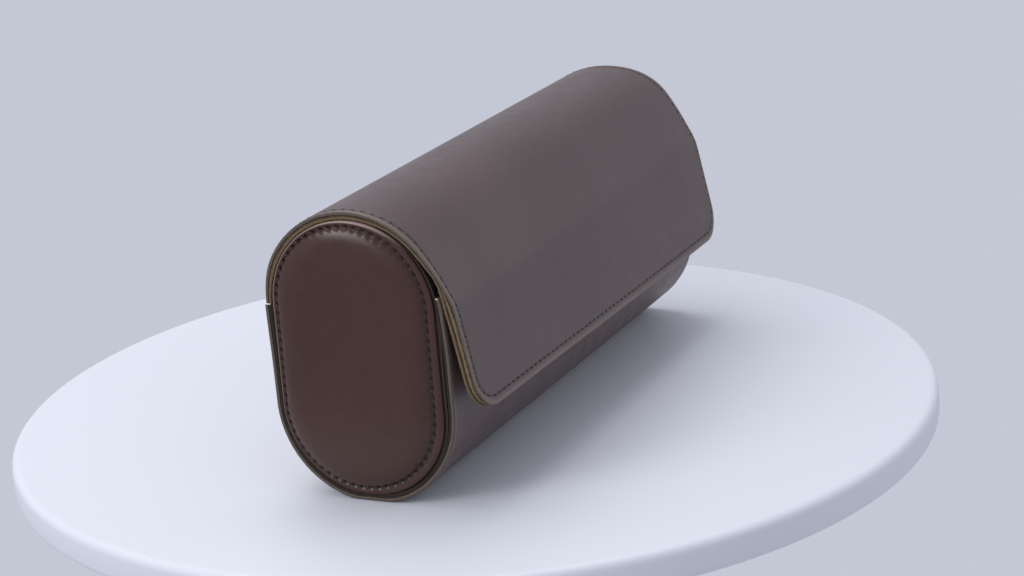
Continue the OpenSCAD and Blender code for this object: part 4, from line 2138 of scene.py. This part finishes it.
@dataclass
class Cushions:
    """The three watch cushions: a padded roll with piped ends."""

    finishes: Finishes
    half_length: float = 28.5 * MM
    radius: float = 22.0 * MM
    rise: float = 17.0 * MM
    low_centre: float = 28.1 * MM
    floor: float = 5.5 * MM
    floor_tilt: float = 0.25 * MM
    end_radius: float = 16.6 * MM
    end_gap: float = 1.0 * MM
    points: int = 64
    corner: float = 4 * MM
    voxel: float = 3.2 * MM
    frames: int = 16
    pressure: float = 4.0
    stiffness: float = 12.0
    most_swell: float = 1.2 * MM
    seam_pull: float = 0.7 * MM
    seam_width: float = 1.5 * MM
    seam_span: Point2 = (0.8, 0.95)
    cap_set_back: float = 1.2 * MM
    cap_thickness: float = 1.1 * MM
    cap_rings: tuple[Point2, ...] = ((0.8, 0.1), (2.0, 0.25), (4.0, 0.2), (5.0, 0.1))
    cord: float = 0.9 * MM
    cord_points: int = 72

    def build(self) -> None:
        """Models one cushion and copies it to the three places."""
        parts = (("roll", self.roll(), ("cover", "core")),
                 ("ends", self.caps(), ("caps",)), ("piping", self.piping(), ()))
        for index, word in enumerate(("left", "centre", "right")):
            shift = Matrix.Translation((SIZES.pitch * (index - 1), 0, 0))
            for kind, first, nodes in parts:
                piece = self.copy(first, f"cushion_{kind}_{word}", shift)
                if nodes:
                    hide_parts(*(f"cushion_{node}_{word}" for node in nodes))
                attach(piece, f"cushion_{word}")
        for _, first, _ in parts:
            bpy.data.objects.remove(first)

    def copy(self, first: Piece, name: str, shift: Matrix) -> Piece:
        """Copies a piece with a mesh of its own to one place.

        Args:
            first: The piece that is copied.
            name: The copy's name.
            shift: Its move from the first.

        Returns:
            The copy.
        """
        mesh = first.data.copy()
        mesh.name = name
        mesh.transform(shift)
        obj = bpy.data.objects.new(name, mesh)
        bpy.context.scene.collection.objects.link(obj)
        return obj

    def lengthen(self, obj: Piece) -> None:
        """Lifts the upper half of a round form, which makes it an oval.

        Args:
            obj: The round form.
        """
        with editing(obj):
            select_where(obj, lambda co: co.z > self.low_centre - 1e-6)
            bpy.ops.transform.translate(value=(0, 0, self.rise))

    def roll(self) -> Piece:
        """The padded roll, swollen by cloth with air in it.

        Returns:
            The roll of the centre cushion.
        """
        deselect()
        bpy.ops.mesh.primitive_cylinder_add(
            vertices=self.points, radius=self.radius,
            depth=2 * (self.half_length - self.end_gap),
            location=(0, 0, self.low_centre), rotation=(0, math.pi / 2, 0))
        obj = name_new("cushion_roll")
        settle(obj)
        self.lengthen(obj)
        apply(obj, "BEVEL", width=self.corner, segments=4, limit_method="ANGLE",
              angle_limit=math.radians(60))
        pick(obj)
        obj.data.remesh_voxel_size = self.voxel
        bpy.ops.object.voxel_remesh()
        before = places(obj)
        self.inflate(obj)
        moved = places(obj) - before
        length = np.linalg.norm(moved, axis=1, keepdims=True)
        moved *= np.minimum(1, self.most_swell / np.maximum(length, 1e-9))
        table = before + moved
        outwards = np.abs(table[:, 0]) / self.half_length
        seam = gauss(self.oval_distance(table), self.end_radius, self.seam_width)
        seam *= ramp(outwards, *self.seam_span)
        table[:, 0] -= np.sign(table[:, 0]) * self.seam_pull * seam
        low = self.floor + self.floor_tilt * np.abs(table[:, 0]) / self.half_length
        table[:, 2] = np.maximum(table[:, 2], low)
        put_places(obj, table)
        apply(obj, "SUBSURF", levels=1, render_levels=1)
        smooth(obj, 180)
        dress(obj, self.finishes.cushion)
        return obj

    def oval_distance(self, table: Array) -> Array:
        """Distance of places from the spine of the cushion's oval."""
        spine = np.clip(table[:, 2], self.low_centre, self.low_centre + self.rise)
        return np.hypot(table[:, 1], table[:, 2] - spine)

    def inflate(self, obj: Piece) -> None:
        """Runs the cloth with pressure inside and keeps its last frame.

        Args:
            obj: The closed roll.
        """
        pick(obj)
        modifier = obj.modifiers.new("cloth", "CLOTH")
        modifier.settings.use_pressure = True
        modifier.settings.uniform_pressure_force = self.pressure
        modifier.settings.effector_weights.gravity = 0
        modifier.settings.tension_stiffness = self.stiffness
        for frame in range(1, self.frames + 1):
            bpy.context.scene.frame_set(frame)
        bpy.ops.object.modifier_apply(modifier=modifier.name)
        bpy.context.scene.frame_set(1)

    def caps(self) -> Piece:
        """The two flat ends inside the piping.

        Returns:
            Both ends of the centre cushion.
        """
        discs = []
        for side in (-1, 1):
            deselect()
            bpy.ops.mesh.primitive_circle_add(
                vertices=self.points, radius=self.end_radius, fill_type="NGON",
                location=(0, 0, self.low_centre), rotation=(0, math.pi / 2, 0))
            obj = name_new("cushion_end")
            settle(obj)
            self.lengthen(obj)
            with editing(obj):
                bpy.ops.mesh.select_all(action="SELECT")
                place = self.half_length - self.cap_set_back
                bpy.ops.transform.translate(value=(side * place, 0, 0))
                bpy.ops.mesh.extrude_region_move(
                    TRANSFORM_OT_translate={"value": (side * self.cap_thickness, 0, 0)})
                bpy.ops.mesh.select_mode(type="FACE")
                for width, lift in self.cap_rings:
                    bpy.ops.mesh.inset(thickness=width * MM, depth=0)
                    bpy.ops.transform.translate(value=(side * lift * MM, 0, 0))
            face_outwards(obj)
            discs.append(obj)
        pair = join(discs, "cushion_ends")
        smooth(pair, 60)
        dress(pair, self.finishes.cushion)
        return pair

    def piping(self) -> Piece:
        """The piped seam round each end.

        Returns:
            Both cords of the centre cushion.
        """
        rings = []
        for side in (-1, 1):
            deselect()
            bpy.ops.mesh.primitive_torus_add(
                major_segments=self.cord_points, minor_segments=10,
                major_radius=self.end_radius, minor_radius=self.cord,
                rotation=(0, math.pi / 2, 0),
                location=(side * (self.half_length - self.cord), 0, self.low_centre))
            obj = name_new("cushion_piping")
            settle(obj)
            self.lengthen(obj)
            rings.append(obj)
        pair = join(rings, "cushion_piping")
        face_outwards(pair)
        smooth(pair, 180)
        dress(pair, self.finishes.cushion)
        return pair


# ---- Frame nodes, stage, light and camera ---------------------------------


def dress_frame(frame: dict, finishes: Finishes) -> None:
    """Gives the shown CAD nodes their finishes.

    Args:
        finishes: The case's finishes.
    """
    kinds = {
        "hinge_tape": finishes.olive, "tray_shell": finishes.board,
        "end_board": finishes.end_board, "divider_board": finishes.board,
        "front_plates": finishes.steel, "flap_magnets": finishes.steel,
    }
    for name, obj in frame["nodes"].items():
        for start, material in kinds.items():
            if name.startswith(start):
                dress(obj, material)


@dataclass(frozen=True)
class Lamp:
    """A square area lamp that points at the case."""

    name: str
    place: Point3
    size: float
    watts: float
    colour: Colour

    def hang(self, target: Point3) -> None:
        """Adds the lamp to the scene.

        Args:
            target: The place that it points at.
        """
        light = bpy.data.lights.new(self.name, "AREA")
        light.shape = "SQUARE"
        light.size = self.size
        light.energy = self.watts
        light.color = self.colour
        obj = bpy.data.objects.new(self.name, light)
        bpy.context.scene.collection.objects.link(obj)
        way = Vector(target) - Vector(self.place)
        obj.location = self.place
        obj.rotation_euler = way.to_track_quat("-Z", "Y").to_euler()


@dataclass
class Stage:
    """The round white table, the pale sky, the lamps and the camera.

    The camera's place, its axes and its lens were fitted to the photograph, where
    the case leans back a little; here the camera leans instead.
    """

    table_colour: Colour = (0.68, 0.70, 0.755)
    sky_colour: Colour = (0.82, 0.85, 0.985)
    sky_strength: float = 0.675
    table_radius: float = 165 * MM
    table_height: float = 12 * MM
    table_middle: Point2 = (-2 * MM, 13 * MM)
    table_gap: float = 0.02 * MM
    table_corner: float = 3 * MM
    table_gloss: Point2 = (0.42, 0.55)
    lamps: tuple[Lamp, ...] = (
        Lamp("overhead", (0.25, 0.45, 1.5), 1.3, 13, (1.0, 0.985, 0.96)),
        Lamp("window", (-1.25, 0.85, 1.05), 0.7, 7, (1.0, 0.99, 0.97)),
        Lamp("side", (-1.0, 0.47, 0.5), 0.42, 2.2, (1.0, 0.99, 0.98)),
        Lamp("fill", (1.1, -1.5, 0.8), 1.1, 4.4, (1.0, 0.98, 0.96)))
    target: Point3 = (0.0, 0.0, 50 * MM)
    lens: float = 83.957
    sensor: float = 36.0
    camera_place: Point3 = (-0.720175, -0.366864, 0.287102)
    right: Point3 = (0.425241, -0.901418, -0.081336)
    up: Point3 = (0.299277, 0.055232, 0.952566)
    back: Point3 = (-0.854168, -0.429412, 0.293261)

    def build(self) -> None:
        """Builds the stage."""
        self.table()
        self.world()
        for lamp in self.lamps:
            lamp.hang(self.target)
        self.camera()
        bpy.context.scene.view_settings.view_transform = "Standard"

    def table(self) -> None:
        """The round white table with a rounded edge."""
        deselect()
        bpy.ops.mesh.primitive_cylinder_add(
            vertices=160, radius=self.table_radius, depth=self.table_height,
            location=(*self.table_middle, -self.table_height / 2 - self.table_gap))
        table = name_new("table")
        settle(table)
        apply(table, "BEVEL", width=self.table_corner, segments=5, limit_method="ANGLE",
              angle_limit=math.radians(60))
        smooth(table, 50)
        dress(table, self.paint("white_table", self.table_colour, self.table_gloss))

    def paint(self, name: str, colour: Colour, rough: Point2) -> Material:
        """An even paint with a faint cloud.

        Args:
            name: The material's name.
            colour: The paint.
            rough: The range of its roughness.

        Returns:
            The material.
        """
        n = Nodes(name)
        cloud = n.noise(3, 2, 0.5)
        tone = n.mix(n.fit(cloud, 0.3, 0.7), colour, tuple(c * 0.97 for c in colour))
        return n.finish(tone, n.fit(cloud, 0.3, 0.7, *rough),
                        n.bump(n.noise(900), 0.02 * MM, 0.1))

    def world(self) -> None:
        """An even pale sky."""
        world = bpy.data.worlds.new("pale_sky")
        bpy.context.scene.world = world
        world.use_nodes = True
        backdrop = world.node_tree.nodes["Background"]
        backdrop.inputs["Color"].default_value = (*self.sky_colour, 1.0)
        backdrop.inputs["Strength"].default_value = self.sky_strength

    def camera(self) -> None:
        """The camera at the photograph's viewing angle."""
        camera = bpy.data.cameras.new("camera")
        camera.sensor_width = self.sensor
        camera.lens = self.lens
        obj = bpy.data.objects.new("camera", camera)
        bpy.context.scene.collection.objects.link(obj)
        turn = Matrix((self.right, self.up, self.back)).transposed().to_4x4()
        obj.matrix_world = Matrix.Translation(self.camera_place) @ turn
        bpy.context.scene.camera = obj


def main() -> None:
    """Builds the case around its frame, one sub-assembly after the other."""
    logging.basicConfig(level=logging.INFO, format="%(message)s")
    bpy.ops.object.select_all(action="SELECT")
    bpy.ops.object.delete()
    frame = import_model()
    finishes = Finishes()
    dress_frame(frame, finishes)
    assemblies = {
        "sleeve": Sleeve(finishes),
        "flap": Flap(finishes),
        "left end": EndPanel(finishes, End.LEFT),
        "right end": EndPanel(finishes, End.RIGHT),
        "drum": Drum(finishes),
        "cushions": Cushions(finishes),
        "stage": Stage(),
    }
    for name, assembly in assemblies.items():
        known = set(bpy.data.objects)
        assembly.build()
        for piece in bpy.data.objects:
            if piece.type == "MESH" and piece not in known:
                LOG.info("%s: %s, %d faces", name, piece.name, len(piece.data.polygons))


if __name__ == "__main__":
    main()
